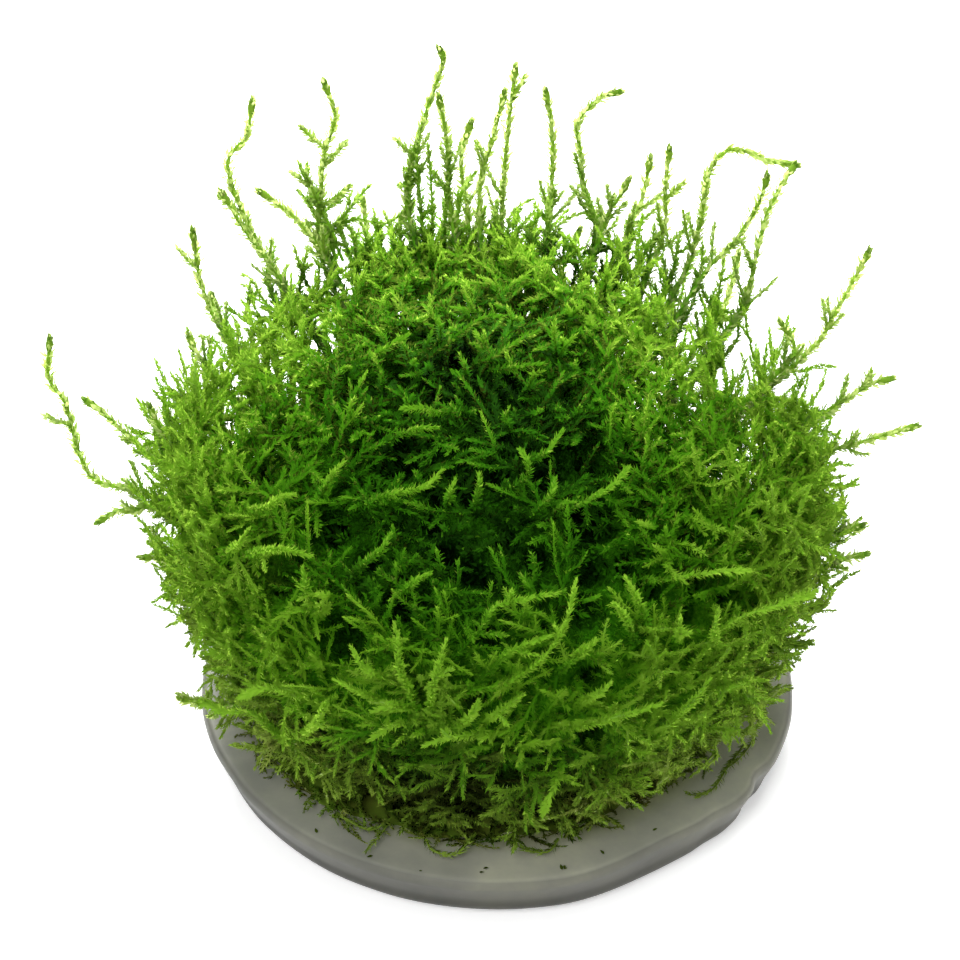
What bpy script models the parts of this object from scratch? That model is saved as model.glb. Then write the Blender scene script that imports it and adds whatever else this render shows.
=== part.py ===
"""A clump of water moss, grown in a cup and standing on its round pad of clear growing jelly.

Metres, +Z up. The origin is the centre of the pad's flat underside, and the clump is seen from -Y.
The pieces are the jelly pad, the mat of old brown growth that lies on it, the dense green mass of
leafy shoots, and the long thin shoots that stand out of the mass one by one.
"""

import math
import random

import bmesh
import bpy
from mathutils import Vector, noise
from mathutils.bvhtree import BVHTree

MM = 0.001
GAP = 0.3 * MM
WELD = 0.02 * MM

# The jelly pad, cast in a cup whose wall leans outwards
PAD_RADIUS = 41.0 * MM
PAD_FOOT_RADIUS = 39.2 * MM
PAD_HEIGHT = 8.0 * MM
PAD_LIP = 0.6 * MM
PAD_LIP_WIDTH = 1.8 * MM
PAD_TOP_ROUND = 0.5 * MM
PAD_FOOT_ROUND = 2.8 * MM
PAD_SIDES = 60
# Dents in the pad's rim where it was pulled from the cup: direction in degrees, depth, half width
PAD_DENTS = (
    (-56.0, 1.5 * MM, 22.0),
    (-29.0, 0.9 * MM, 5.0),
    (-43.0, 0.4 * MM, 5.0),
    (12.0, 0.7 * MM, 9.0),
    (74.0, 0.5 * MM, 15.0),
)

# The mat of old growth on the pad
MAT_RADIUS = 38.0 * MM
MAT_FLAT_RADIUS = 31.5 * MM
MAT_THICKNESS = 4.0 * MM
MAT_TUFT = 1.1 * MM
MAT_SIDES = 52

# The dense mass: a dome with a narrow foot, a wide belly and a flattened crown
MASS_FOOT_RADIUS = 33.0 * MM
MASS_BELLY_RADIUS = 42.5 * MM
MASS_BELLY_HEIGHT = 38.0 * MM
MASS_TOP_HEIGHT = 62.5 * MM
MASS_CROWN_POWER = 2.9
MASS_SIDES = 34
MASS_RINGS_BELOW = 4
MASS_RINGS_ABOVE = 6
MASS_LUMP = 3.0 * MM
MASS_LUMP_SIZE = 14.0 * MM

# The loose back corners of the crown: the dense growth lies lower there, under long single fronds.
# Each pair of lengths is where the looseness begins and where it is full.
CORNER_DROP = 17.0 * MM
CORNER_RIGHT = (12.0 * MM, 26.0 * MM)
CORNER_LEFT = (18.0 * MM, 30.0 * MM)
CORNER_LEFT_SHARE = 0.7
CORNER_BACK = (22.0 * MM, 34.0 * MM)
CORNER_BACK_SHARE = 0.35
CORNER_DEPTH = (-8.0 * MM, 12.0 * MM)
CORNER_HEIGHT = (20.0 * MM, 62.5 * MM)

# The leafy fronds that stand out of the dense mass all round
FROND_COUNT = 240
FROND_SPACING = 4.6 * MM
FROND_LENGTH = (5.5 * MM, 9.5 * MM)
FROND_RADIUS = 1.5 * MM
FROND_ROOT_DEPTH = 1.6 * MM
FROND_LOWEST = 16.0 * MM
# The fronds' directions run from almost straight up to this far below level, as sines
FROND_BAND = (0.985, -0.635)
FROND_RISE = 0.55
FROND_ASIDE = 0.45
FROND_BEND = 0.22
# In a loose corner a frond is this much longer, and turns up this much more
CORNER_FROND_GROWTH = 1.1
CORNER_FROND_RISE = 1.0
CORNER_FROND_TURN = 0.6
FROND_SHOOT_CLEARANCE = 2.9 * MM
FROND_SEED = 11

# The long thin shoots, with closely set leaves and a bud at the tip. Their roots run on into the mass:
# each share of the foot's way from the axis, and how far below the foot, in millimetres.
SHOOT_RADIUS = 0.62 * MM
SHOOT_STEP = 3.4 * MM
SHOOT_WAIST = 0.74
SHOOT_ROOTS = ((0.52, 22.0), (0.72, 11.0))
SHOOT_ROOT_FLOOR = 16.0
TWIG_RADIUS = 0.5 * MM

# Each long shoot from its foot to its tip, in millimetres, as it bends in the air
LONG_SHOOTS = (
    ((-46, -1, 41), (-53, -0.5, 43), (-55.5, 0, 47), (-57, 1, 55), (-59, 1.5, 59), (-58.5, 2.5, 65)),
    ((-45.5, 2.5, 44), (-48, 2.5, 47), (-52.5, 2.5, 52.5), (-55, 3.5, 54)),
    ((-37, 19.5, 53), (-40, 21.5, 59.5), (-41, 23.5, 67.5)),
    ((-30, 28, 56), (-32.5, 29.5, 60.5), (-35.5, 31.5, 67), (-36.5, 33, 72), (-34, 34.5, 75), (-33, 36, 80)),
    ((-29, 24, 58), (-34, 27.5, 64), (-37.5, 29.5, 69.5)),
    ((-24.5, 30.5, 57), (-24, 33, 67), (-23.5, 34.5, 72), (-22, 36, 77), (-23.5, 37.5, 82)),
    ((-22.5, 27, 58), (-27, 30, 64), (-32.5, 31, 68.5)),
    ((-12.5, 35.5, 63.5), (-11.5, 38, 69.5), (-9.5, 40.5, 75.5), (-7.5, 43, 81), (-8, 43.5, 83.5)),
    ((-6.5, 34.5, 64), (-7, 36.5, 73.5), (-8, 37, 80)),
    ((-4, 36.5, 59.5), (-5, 39.5, 67.5), (-3.5, 41.5, 73)),
    ((-2.5, 34, 65.5), (-0.5, 37, 73.5), (1, 39, 79.5)),
    ((0.5, 35.5, 60), (1.5, 41, 72.5), (2.5, 44.5, 80)),
    ((7, 37, 59.5), (7.5, 39, 64.5), (7.5, 41.5, 71), (6.5, 44, 76.5)),
    ((13.5, 35, 59), (12, 37.5, 63.5), (11.5, 39.5, 68), (11, 41.5, 72.5), (14, 43, 75.5), (17, 44, 76)),
    ((14.5, 32, 62), (16.5, 34, 65), (18, 35.5, 67.5)),
    ((18, 34, 59.5), (20, 37, 63.5), (21, 39.5, 68.5)),
    ((22.5, 33, 58.5), (23, 36, 65.5), (23.5, 38, 71)),
    ((26.5, 30, 58), (28.5, 33, 69), (30.5, 34, 72.5), (33, 34, 73), (37, 35, 70.5), (41, 35.5, 69.5)),
    ((32.5, 22, 54), (34, 23, 57.5), (36, 27, 66), (38.5, 30.5, 70), (40.5, 32.5, 72)),
    ((28, 26, 58), (32, 29, 61), (35.5, 30.5, 67), (36.5, 31.5, 71)),
    ((42, 13, 55), (44.5, 14.5, 58.5), (47.5, 16.5, 64), (49.5, 17.5, 68.5)),
    ((37.5, 10.5, 53), (39.5, 11, 57), (37.5, 12, 60.5)),
    ((42, 7, 48), (44.5, 7.5, 49), (49.5, 9, 52), (53, 10, 52.5)),
    ((43, 3, 44.5), (47, 3, 46.5), (51, 3, 48), (56, 3, 50)),
    ((42, -8.5, 34), (45.5, -9.5, 37), (49, -10.5, 39)),
    ((42, -5, 37), (45, -6, 38.5), (48.5, -7.5, 41.5)),
    ((-45, -3, 40), (-48, -3.5, 40.5), (-50.5, -4, 41), (-53.5, -5, 39.5)),
    ((-43, -7, 34), (-45, -8, 36), (-47.5, -9.5, 37.5)),
    ((-36.5, -19, 20), (-39.5, -21.5, 22.5), (-42, -24, 25.5)),
    ((-42, 3, 45.5), (-44.5, 4, 47.5), (-46.5, 5, 52)),
    ((-38, 14, 49), (-40, 16, 51), (-42, 18, 54)),
    ((-16, 40, 44), (-18, 45, 48), (-19, 49, 55)),
    ((8, 43, 38), (9, 49, 41), (12, 53, 47)),
    ((28, 34, 40), (32, 39, 43), (34, 43, 50)),
    ((-33, 30, 38), (-38, 34, 41), (-40, 37, 47)),
)

# Short side twigs: which shoot, how far along it, and the twig's reach in millimetres
SIDE_TWIGS = (
    (0, 0.55, (-3.5, -0.5, 1.5)),
    (2, 0.62, (-2.5, 0.5, 2.5)),
    (5, 0.62, (-3.5, -0.5, 3.5)),
    (5, 0.52, (3.5, 0.5, 3.5)),
    (5, 0.38, (-4, 0.5, 2.5)),
    (5, 0.30, (4.5, 0, 3)),
    (7, 0.30, (-2.5, -1, 2.5)),
    (11, 0.78, (2, 0.5, 3)),
    (16, 0.45, (2.5, -0.5, 2.5)),
    (22, 0.60, (1.5, 0.5, 2.5)),
)

# Colours and finish
JELLY = (0.42, 0.42, 0.36)
OLD_BROWN = (0.09, 0.10, 0.035)
LEAF_GREEN = (0.06, 0.17, 0.015)
SHOOT_GREEN = (0.17, 0.34, 0.05)


def clear_scene():
    """Take the starting objects away."""
    for item in list(bpy.data.objects):
        bpy.data.objects.remove(item)


def new_collection(name):
    """A collection under the scene's own one."""
    group = bpy.data.collections.new(name)
    bpy.context.scene.collection.children.link(group)
    return group


def finish(name, colour, roughness, clear=0.0):
    """A plain surface of one colour, clear where light goes through it."""
    surface = bpy.data.materials.new(name)
    surface.use_nodes = True
    shader = surface.node_tree.nodes["Principled BSDF"]
    shader.inputs["Base Color"].default_value = (*colour, 1.0)
    shader.inputs["Roughness"].default_value = roughness
    shader.inputs["Metallic"].default_value = 0.0
    shader.inputs["Transmission Weight"].default_value = clear
    surface.diffuse_color = (*colour, 1.0)
    return surface


def add_object(name, shape, group, surface=None):
    """An object in a collection, with its material."""
    item = bpy.data.objects.new(name, shape)
    group.objects.link(item)
    if surface is not None:
        shape.materials.append(surface)
    return item


def evaluated_mesh(item):
    """The object's mesh after its modifiers, as new data."""
    bpy.context.view_layer.update()
    depsgraph = bpy.context.evaluated_depsgraph_get()
    return bpy.data.meshes.new_from_object(item.evaluated_get(depsgraph), depsgraph=depsgraph)


def weld(mesh):
    """Close the seams of a curve's caps or a turned shape, with the faces pointing out."""
    work = bmesh.new()
    work.from_mesh(mesh)
    bmesh.ops.remove_doubles(work, verts=work.verts, dist=WELD)
    bmesh.ops.dissolve_degenerate(work, edges=work.edges, dist=WELD)
    bmesh.ops.recalc_face_normals(work, faces=work.faces)
    work.to_mesh(mesh)
    work.free()


def turned(name, profile, sides, group, surface):
    """A solid turned about Z from (radius, height) points that run from the top down to the foot."""
    outline = bpy.data.meshes.new(name)
    outline.from_pydata([(radius, 0.0, height) for radius, height in profile],
                        [(i, i + 1) for i in range(len(profile) - 1)], [])
    item = add_object(name, outline, group)
    screw = item.modifiers.new("Turn", "SCREW")
    screw.axis = "Z"
    screw.steps = sides
    screw.render_steps = sides
    screw.use_merge_vertices = True
    screw.merge_threshold = 0.1 * WELD
    mesh = evaluated_mesh(item)
    weld(mesh)
    item.modifiers.clear()
    item.data = mesh
    item.data.materials.clear()
    item.data.materials.append(surface)
    return item


def reshape(item, rule):
    """Move each point of an object's mesh by a rule that takes and gives a Vector."""
    for vertex in item.data.vertices:
        vertex.co = rule(vertex.co.copy())
    item.data.update()


def arc(centre, radius, start, end, count):
    """Points (radius, height) along an arc, angles in degrees."""
    points = []
    for i in range(count + 1):
        turn = math.radians(start + (end - start) * i / count)
        points.append((centre[0] + radius * math.cos(turn), centre[1] + radius * math.sin(turn)))
    return points


def smooth_path(points, step):
    """Evenly spaced points on one smooth curve through the given points, both ends kept."""
    guide = [points[0] * 2 - points[1], *points, points[-1] * 2 - points[-2]]
    fine = []
    pieces = 24
    for before, here, there, after in zip(guide, guide[1:], guide[2:], guide[3:]):
        for i in range(pieces):
            t = i / pieces
            bend = (before * 2 - here * 5 + there * 4 - after) * t * t
            turn = (here * 3 - before - there * 3 + after) * t * t * t
            fine.append((here * 2 + (there - before) * t + bend + turn) * 0.5)
    fine.append(points[-1])
    runs = [0.0]
    for here, there in zip(fine, fine[1:]):
        runs.append(runs[-1] + (there - here).length)
    count = max(2, round(runs[-1] / step))
    even = []
    k = 0
    for i in range(count + 1):
        run = runs[-1] * i / count
        while k < len(fine) - 2 and runs[k + 1] < run:
            k += 1
        share = (run - runs[k]) / max(runs[k + 1] - runs[k], 1e-9)
        even.append(fine[k].lerp(fine[k + 1], share))
    return even


def stems(name, paths, radii, sides_step, group, surface=None):
    """Closed tubes along paths, as one mesh object: a curve with filled caps, then welded."""
    curve = bpy.data.curves.new(name, "CURVE")
    curve.dimensions = "3D"
    curve.bevel_depth = 1.0
    curve.bevel_resolution = sides_step
    curve.use_fill_caps = True
    for path, widths in zip(paths, radii):
        spline = curve.splines.new("POLY")
        spline.points.add(len(path) - 1)
        for point, place, width in zip(spline.points, path, widths):
            point.co = (*place, 1.0)
            point.radius = width
    tube = add_object(name + "_curve", curve, group)
    mesh = evaluated_mesh(tube)
    weld(mesh)
    item = add_object(name, mesh, group, surface)
    item.matrix_world = tube.matrix_world
    bpy.data.objects.remove(tube)
    return item


def join(item, other):
    """Fuse a helper object into an item, as one closed body."""
    union = item.modifiers.new("Join " + other.name, "BOOLEAN")
    union.operation = "UNION"
    union.solver = "EXACT"
    union.use_self = True
    union.object = other
    other.hide_render = True
    other.display_type = "WIRE"


def bump(angle, centre, width):
    """One at the centre direction, easing to zero at the width, in degrees."""
    away = abs((angle - centre + 180.0) % 360.0 - 180.0) / width
    return 0.5 + 0.5 * math.cos(math.pi * away) if away < 1.0 else 0.0


def make_pad(group):
    """The round pad of clear jelly: flat below, a low lip round its top, and a torn front right."""
    top = PAD_HEIGHT - PAD_LIP
    lip_start = PAD_RADIUS - PAD_LIP_WIDTH
    profile = [(0.0, top), (lip_start, top)]
    round_centre = (PAD_RADIUS - PAD_TOP_ROUND, PAD_HEIGHT - PAD_TOP_ROUND)
    profile += arc(round_centre, PAD_TOP_ROUND, 100, 0, 3)
    profile += [(0.5 * (PAD_RADIUS + PAD_FOOT_RADIUS), 0.5 * (PAD_HEIGHT + PAD_FOOT_ROUND))]
    profile += arc((PAD_FOOT_RADIUS - PAD_FOOT_ROUND, PAD_FOOT_ROUND), PAD_FOOT_ROUND, 0, -90, 4)
    profile += [(0.0, 0.0)]
    pad = turned("gel_pad", profile, PAD_SIDES, group, finish("jelly", JELLY, 0.25, clear=0.6))

    def pulled(place):
        reach = math.hypot(place.x, place.y)
        share = max(0.0, (reach - 0.85 * PAD_FOOT_RADIUS) / (PAD_RADIUS - 0.85 * PAD_FOOT_RADIUS))
        angle = math.degrees(math.atan2(place.y, place.x))
        inwards = sum(depth * bump(angle, centre, width) for centre, depth, width in PAD_DENTS)
        scale = 1.0 - share * inwards / PAD_RADIUS
        return Vector((place.x * scale, place.y * scale, place.z))

    reshape(pad, pulled)
    pad.data.shade_smooth()
    pad.data.set_sharp_from_angle(angle=math.radians(40))
    return pad


def make_mat(group):
    """The mat of old brown growth: flat where the mass stands on it, with a tufted rim."""
    low = PAD_HEIGHT - PAD_LIP + GAP
    high = low + MAT_THICKNESS
    profile = [
        (0.0, high),
        (MAT_FLAT_RADIUS, high),
        (0.5 * (MAT_FLAT_RADIUS + MAT_RADIUS), high - 0.12 * MAT_THICKNESS),
        (MAT_RADIUS, low + 0.62 * MAT_THICKNESS),
        (MAT_RADIUS + 0.3 * MM, low + 0.25 * MAT_THICKNESS),
        (MAT_RADIUS - 1.2 * MM, low),
        (0.0, low),
    ]
    mat = turned("old_growth_mat", profile, MAT_SIDES, group, finish("old growth", OLD_BROWN, 0.8))
    inner = MAT_FLAT_RADIUS + 0.5 * MM

    def tufted(place):
        reach = math.hypot(place.x, place.y)
        if reach < inner:
            return place
        share = min(1.0, (reach - inner) / (MAT_RADIUS - inner))
        swell = noise.noise(Vector((place.x, place.y, 0.0)) / (3.2 * MM)) * MAT_TUFT * share
        scale = (reach + swell) / reach
        rise = 0.0
        if place.z > low + 0.1 * MAT_THICKNESS:
            rise = noise.noise(Vector((place.x, place.y, 9.0 * MM)) / (4.0 * MM)) * 0.7 * MM * share
        return Vector((place.x * scale, place.y * scale, place.z + rise))

    reshape(mat, tufted)
    return mat, high


def mass_radius(height, foot):
    """How far the dense mass reaches from its axis at a height."""
    if height < MASS_BELLY_HEIGHT:
        share = (height - foot) / (MASS_BELLY_HEIGHT - foot)
        return MASS_FOOT_RADIUS + (MASS_BELLY_RADIUS - MASS_FOOT_RADIUS) * math.sin(share * math.pi / 2)
    share = (height - MASS_BELLY_HEIGHT) / (MASS_TOP_HEIGHT - MASS_BELLY_HEIGHT)
    return MASS_BELLY_RADIUS * math.sqrt(max(0.0, 1.0 - share ** MASS_CROWN_POWER))


def eased(value, low, high):
    """From 0 at low to 1 at high, easing at both ends."""
    share = min(1.0, max(0.0, (value - low) / (high - low)))
    return share * share * (3.0 - 2.0 * share)


def looseness(place):
    """How loose the growth is round a place: 0 in the dense mass, up to 1 at the back corners."""
    right = eased(place.x, *CORNER_RIGHT)
    left = CORNER_LEFT_SHARE * eased(-place.x, *CORNER_LEFT)
    back = CORNER_BACK_SHARE * eased(place.y, *CORNER_BACK)
    far = eased(place.y, *CORNER_DEPTH) * eased(place.z, *CORNER_HEIGHT)
    return far * max(right, left, back)


def make_mass(group, foot, surface):
    """The body of the dense mass: lumpy all over, sunk at the back corners, flat where it stands."""
    profile = [(0.0, MASS_TOP_HEIGHT)]
    for i in range(1, MASS_RINGS_ABOVE + 1):
        turn = math.pi / 2 * (1 - i / MASS_RINGS_ABOVE)
        height = MASS_BELLY_HEIGHT + (MASS_TOP_HEIGHT - MASS_BELLY_HEIGHT) * math.sin(turn)
        profile.append((mass_radius(height, foot), height))
    for i in range(1, MASS_RINGS_BELOW + 1):
        height = MASS_BELLY_HEIGHT + (foot - MASS_BELLY_HEIGHT) * i / MASS_RINGS_BELOW
        profile.append((mass_radius(height, foot), height))
    profile += [(0.5 * MASS_FOOT_RADIUS, foot), (0.0, foot)]
    mass = turned("moss_mass", profile, MASS_SIDES, group, surface)
    middle = Vector((0.0, 0.0, 0.5 * (foot + MASS_TOP_HEIGHT)))

    def lumpy(place):
        lift = min(1.0, max(0.0, (place.z - foot) / (9.0 * MM)))
        away = (place - middle).normalized()
        sunk = CORNER_DROP * looseness(place)
        swell = away * noise.noise(place / MASS_LUMP_SIZE) * 2.0 * MASS_LUMP * lift
        return place + swell - Vector((0.0, 0.0, sunk))

    reshape(mass, lumpy)
    return mass


def shoot_paths():
    """The long shoots' paths from the foot to the tip, each begun well inside the mass."""
    paths = []
    for points in LONG_SHOOTS:
        foot = Vector(points[0])
        roots = [Vector((foot.x * share, foot.y * share, max(foot.z - drop, SHOOT_ROOT_FLOOR)))
                 for share, drop in SHOOT_ROOTS]
        bends = [Vector(point) * MM for point in (*roots, *points)]
        paths.append(smooth_path(bends, 0.1 * MM))
    return paths


def frond_paths(mass, shoots):
    """Where the fronds stand on the mass: spread evenly, leaning up and out, clear of the shoots."""
    draw = random.Random(FROND_SEED)
    tree = BVHTree.FromObject(mass, bpy.context.evaluated_depsgraph_get())
    middle = Vector((0.0, 0.0, 0.45 * MASS_TOP_HEIGHT))
    fronds = []
    golden = math.pi * (3.0 - math.sqrt(5.0))
    thin_shoots = [path[::15] for path in shoots]
    for i in range(FROND_COUNT):
        height = FROND_BAND[0] + (FROND_BAND[1] - FROND_BAND[0]) * i / (FROND_COUNT - 1)
        ring = math.sqrt(max(0.0, 1.0 - height * height))
        turn = i * golden + draw.uniform(-0.2, 0.2)
        way = Vector((ring * math.cos(turn), ring * math.sin(turn), height))
        place, normal, _, _ = tree.ray_cast(middle, way)
        if place is None or place.z < FROND_LOWEST:
            continue
        aside = Vector((draw.uniform(-1, 1), draw.uniform(-1, 1), draw.uniform(-0.3, 0.9)))
        loose = looseness(place + Vector((0.0, 0.0, 0.7 * CORNER_DROP)))
        upwards = Vector((0.0, 0.0, FROND_RISE + CORNER_FROND_RISE * loose))
        lean = (normal * (1.0 - CORNER_FROND_TURN * loose) + upwards + aside * FROND_ASIDE).normalized()
        reach = draw.uniform(*FROND_LENGTH) * (1.0 + CORNER_FROND_GROWTH * loose)
        bend = Vector((draw.uniform(-1, 1), draw.uniform(-1, 1), draw.uniform(0.0, 1.2))) * FROND_BEND * reach
        root = place - normal * FROND_ROOT_DEPTH
        path = [root, root + lean * (0.55 * reach + FROND_ROOT_DEPTH), place + lean * reach + bend]
        probes = [path[0].lerp(path[1], 0.5), path[1], path[1].lerp(path[2], 0.5), path[2]]
        crowded = any((other[1] - path[1]).length < FROND_SPACING for other in fronds)
        crowded = crowded or any((other[2] - path[2]).length < 0.7 * FROND_SPACING for other in fronds)
        if crowded:
            continue
        blocked = any((point - probe).length < FROND_SHOOT_CLEARANCE
                      for shoot in thin_shoots for point in shoot for probe in probes)
        if not blocked:
            fronds.append(path)
    return fronds


def add_fronds(mass, shoots, group, surface):
    """Fuse the fronds into the mass they grow from."""
    paths = frond_paths(mass, shoots)
    widths = [(1.0 * FROND_RADIUS, 0.95 * FROND_RADIUS, 0.22 * FROND_RADIUS)] * len(paths)
    fronds = stems("fronds", paths, widths, 0, group, surface)
    join(mass, fronds)


def trimmed(path, tree):
    """The part of a shoot, from its tip down, that stays just clear of the mass."""
    clear = []
    for point in reversed(path):
        _, _, _, near = tree.find_nearest(point)
        if near < SHOOT_RADIUS + 1.3 * GAP:
            break
        clear.append(point)
    return list(reversed(clear))


def make_shoot(name, path, twigs, group, helpers, surface):
    """One long shoot: narrow between its rings of leaves, with a bud at the tip."""
    length = sum((b - a).length for a, b in zip(path, path[1:]))
    count = max(3, round(length / SHOOT_STEP))
    places = [path[round(i * (len(path) - 1) / count)] for i in range(count + 1)]
    widths = [SHOOT_RADIUS * (1.0 if i % 2 else SHOOT_WAIST) for i in range(count + 1)]
    widths[0] = SHOOT_RADIUS * 0.9
    widths[-2] = SHOOT_RADIUS * 1.1
    widths[-1] = SHOOT_RADIUS * 0.35
    shoot = stems(name, [places], [widths], 1, group, surface)
    for k, (share, reach) in enumerate(twigs):
        start = path[round(share * (len(path) - 1))]
        reach = Vector(reach) * MM
        twig_path = [start, start + reach * 0.55, start + reach + Vector((0.0, 0.0, 0.15 * reach.length))]
        twig_widths = [TWIG_RADIUS * 0.7, TWIG_RADIUS, TWIG_RADIUS * 0.35]
        twig = stems(f"{name}_twig_{k + 1}", [twig_path], [twig_widths], 0, helpers)
        join(shoot, twig)
    return shoot


def main():
    """Build the clump from the pad up."""
    clear_scene()
    pieces = new_collection("moss_clump")
    helpers = new_collection("helpers")
    make_pad(pieces)
    _, mat_top = make_mat(pieces)
    leaf_green = finish("leaf green", LEAF_GREEN, 0.6)
    mass = make_mass(pieces, mat_top + GAP, leaf_green)
    shoots = shoot_paths()
    add_fronds(mass, shoots, helpers, leaf_green)
    bpy.context.view_layer.update()
    tree = BVHTree.FromObject(mass, bpy.context.evaluated_depsgraph_get())
    shoot_green = finish("shoot green", SHOOT_GREEN, 0.55)
    for i, path in enumerate(shoots):
        twigs = [(share, reach) for number, share, reach in SIDE_TWIGS if number == i]
        make_shoot(f"long_shoot_{i + 1:02d}", trimmed(path, tree), twigs, pieces, helpers, shoot_green)


main()
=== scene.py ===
"""The looks of a clump of water moss, standing on its round pad of clear growing jelly.

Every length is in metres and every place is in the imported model's own frame: +Z up, with the origin
at the centre of the pad's flat underside. The moss is grown leaf by leaf as plain meshes.
"""

import math

import bpy
import numpy as np
from bpy.props import FloatProperty, FloatVectorProperty, IntProperty, PointerProperty
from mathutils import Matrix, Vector, noise


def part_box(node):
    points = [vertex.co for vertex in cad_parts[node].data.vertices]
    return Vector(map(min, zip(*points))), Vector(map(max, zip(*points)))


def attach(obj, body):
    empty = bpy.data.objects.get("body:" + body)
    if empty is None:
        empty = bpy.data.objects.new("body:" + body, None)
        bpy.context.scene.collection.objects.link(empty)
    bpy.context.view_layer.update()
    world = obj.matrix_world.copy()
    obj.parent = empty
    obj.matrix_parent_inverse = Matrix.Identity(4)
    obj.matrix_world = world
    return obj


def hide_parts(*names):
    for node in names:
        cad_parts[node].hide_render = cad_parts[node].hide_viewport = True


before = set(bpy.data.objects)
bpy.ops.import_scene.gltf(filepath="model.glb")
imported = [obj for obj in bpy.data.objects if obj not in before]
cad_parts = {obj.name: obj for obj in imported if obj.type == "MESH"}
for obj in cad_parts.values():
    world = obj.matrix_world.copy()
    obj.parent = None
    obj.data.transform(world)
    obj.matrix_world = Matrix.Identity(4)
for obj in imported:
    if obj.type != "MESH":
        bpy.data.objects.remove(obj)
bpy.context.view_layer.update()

bl_info = {
    "name": "Water moss clump",
    "version": (1, 0, 0),
    "blender": (4, 5, 0),
    "location": "3D View > Sidebar > Moss",
    "description": "Grows the looks of a water moss clump on its jelly pad",
    "category": "Object",
}

BODY = "root"
MM = 0.001
UP = np.array([0.0, 0.0, 1.0])
VIEW_TILT = math.radians(38.5)

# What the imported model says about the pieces
PAD_LOW, PAD_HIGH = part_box("gel_pad")
PAD_TOP = PAD_HIGH.z
PAD_RADIUS = -PAD_LOW.x
LONG_SHOOT_NODES = sorted(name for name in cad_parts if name.startswith("long_shoot"))

# The map that carries each leaf's tint (across) and freshness (up) to its colour
TINT_MAP = "OFBake"

# Dents in the pad's rim where it was pulled from the cup: direction in degrees, depth, half width
PAD_DENTS = (
    (-56.0, 1.5 * MM, 22.0),
    (-29.0, 0.9 * MM, 5.0),
    (-43.0, 0.4 * MM, 5.0),
    (12.0, 0.7 * MM, 9.0),
    (74.0, 0.5 * MM, 15.0),
)

# The long shoots from foot to tip, in millimetres
LONG_SHOOTS = (
    ((-46, -1, 41), (-53, -0.5, 43), (-55.5, 0, 47), (-57, 1, 55), (-59, 1.5, 59), (-58.5, 2.5, 65)),
    ((-45.5, 2.5, 44), (-48, 2.5, 47), (-52.5, 2.5, 52.5), (-55, 3.5, 54)),
    ((-37, 19.5, 53), (-40, 21.5, 59.5), (-41, 23.5, 67.5)),
    ((-30, 28, 56), (-32.5, 29.5, 60.5), (-35.5, 31.5, 67), (-36.5, 33, 72), (-34, 34.5, 75), (-33, 36, 80)),
    ((-29, 24, 58), (-34, 27.5, 64), (-37.5, 29.5, 69.5)),
    ((-24, 30.5, 57), (-24, 33, 67), (-23.5, 34.5, 72), (-22, 36, 77), (-23.5, 37.5, 82)),
    ((-22.5, 27, 58), (-27, 30, 64), (-32.5, 31, 68.5)),
    ((-12.5, 35.5, 63.5), (-11.5, 38, 69.5), (-9.5, 40.5, 75.5), (-7.5, 43, 81), (-8, 43.5, 83.5)),
    ((-6.5, 34.5, 64), (-7, 36.5, 73.5), (-8, 37, 80)),
    ((-4, 36.5, 59.5), (-5, 39.5, 67.5), (-3.5, 41.5, 73)),
    ((-2.5, 34, 65.5), (-0.5, 37, 73.5), (1, 39, 79.5)),
    ((0.5, 35.5, 60), (1.5, 41, 72.5), (2.5, 44.5, 80)),
    ((7, 37, 59.5), (7.5, 39, 64.5), (7.5, 41.5, 71), (6.5, 44, 76.5)),
    ((13.5, 35, 59), (12, 37.5, 63.5), (11.5, 39.5, 68), (11, 41.5, 72.5), (14, 43, 75.5), (17, 44, 76)),
    ((14.5, 32, 62), (16.5, 34, 65), (18, 35.5, 67.5)),
    ((18, 34, 59.5), (20, 37, 63.5), (21, 39.5, 68.5)),
    ((22.5, 33, 58.5), (23, 36, 65.5), (23.5, 38, 71)),
    ((26.5, 30, 58), (28.5, 33, 69), (30.5, 34, 72.5), (33, 34, 73), (37, 35, 70.5), (41, 35.5, 69.5)),
    ((32.5, 22, 54), (34, 23, 57.5), (36, 27, 66), (38.5, 30.5, 70), (40.5, 32.5, 72)),
    ((28, 26, 58), (32, 29, 61), (35.5, 30.5, 67), (36.5, 31.5, 71)),
    ((42, 13, 55), (44.5, 14.5, 58.5), (47.5, 16.5, 64), (49.5, 17.5, 68.5)),
    ((37.5, 10.5, 53), (39.5, 11, 57), (37.5, 12, 60.5)),
    ((42, 7, 48), (44.5, 7.5, 49), (49.5, 9, 52), (53, 10, 52.5)),
    ((43, 3, 44.5), (47, 3, 46.5), (51, 3, 48), (56, 3, 50)),
    ((42, -8.5, 34), (45.5, -9.5, 37), (49, -10.5, 39)),
    ((42, -5, 37), (45, -6, 38.5), (48.5, -7.5, 41.5)),
    ((-45, -3, 40), (-48, -3.5, 40.5), (-50.5, -4, 41), (-53.5, -5, 39.5)),
    ((-43, -7, 34), (-45, -8, 36), (-47.5, -9.5, 37.5)),
    ((-36.5, -19, 20), (-39.5, -21.5, 22.5), (-42, -24, 25.5)),
    ((-42, 3, 45.5), (-44.5, 4, 47.5), (-46.5, 5, 52)),
    ((-38, 14, 49), (-40, 16, 51), (-42, 18, 54)),
    ((-16, 40, 44), (-18, 45, 48), (-19, 49, 55)),
    ((8, 43, 38), (9, 49, 41), (12, 53, 47)),
    ((28, 34, 40), (32, 39, 43), (34, 43, 50)),
    ((-33, 30, 38), (-38, 34, 41), (-40, 37, 47)),
)

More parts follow.
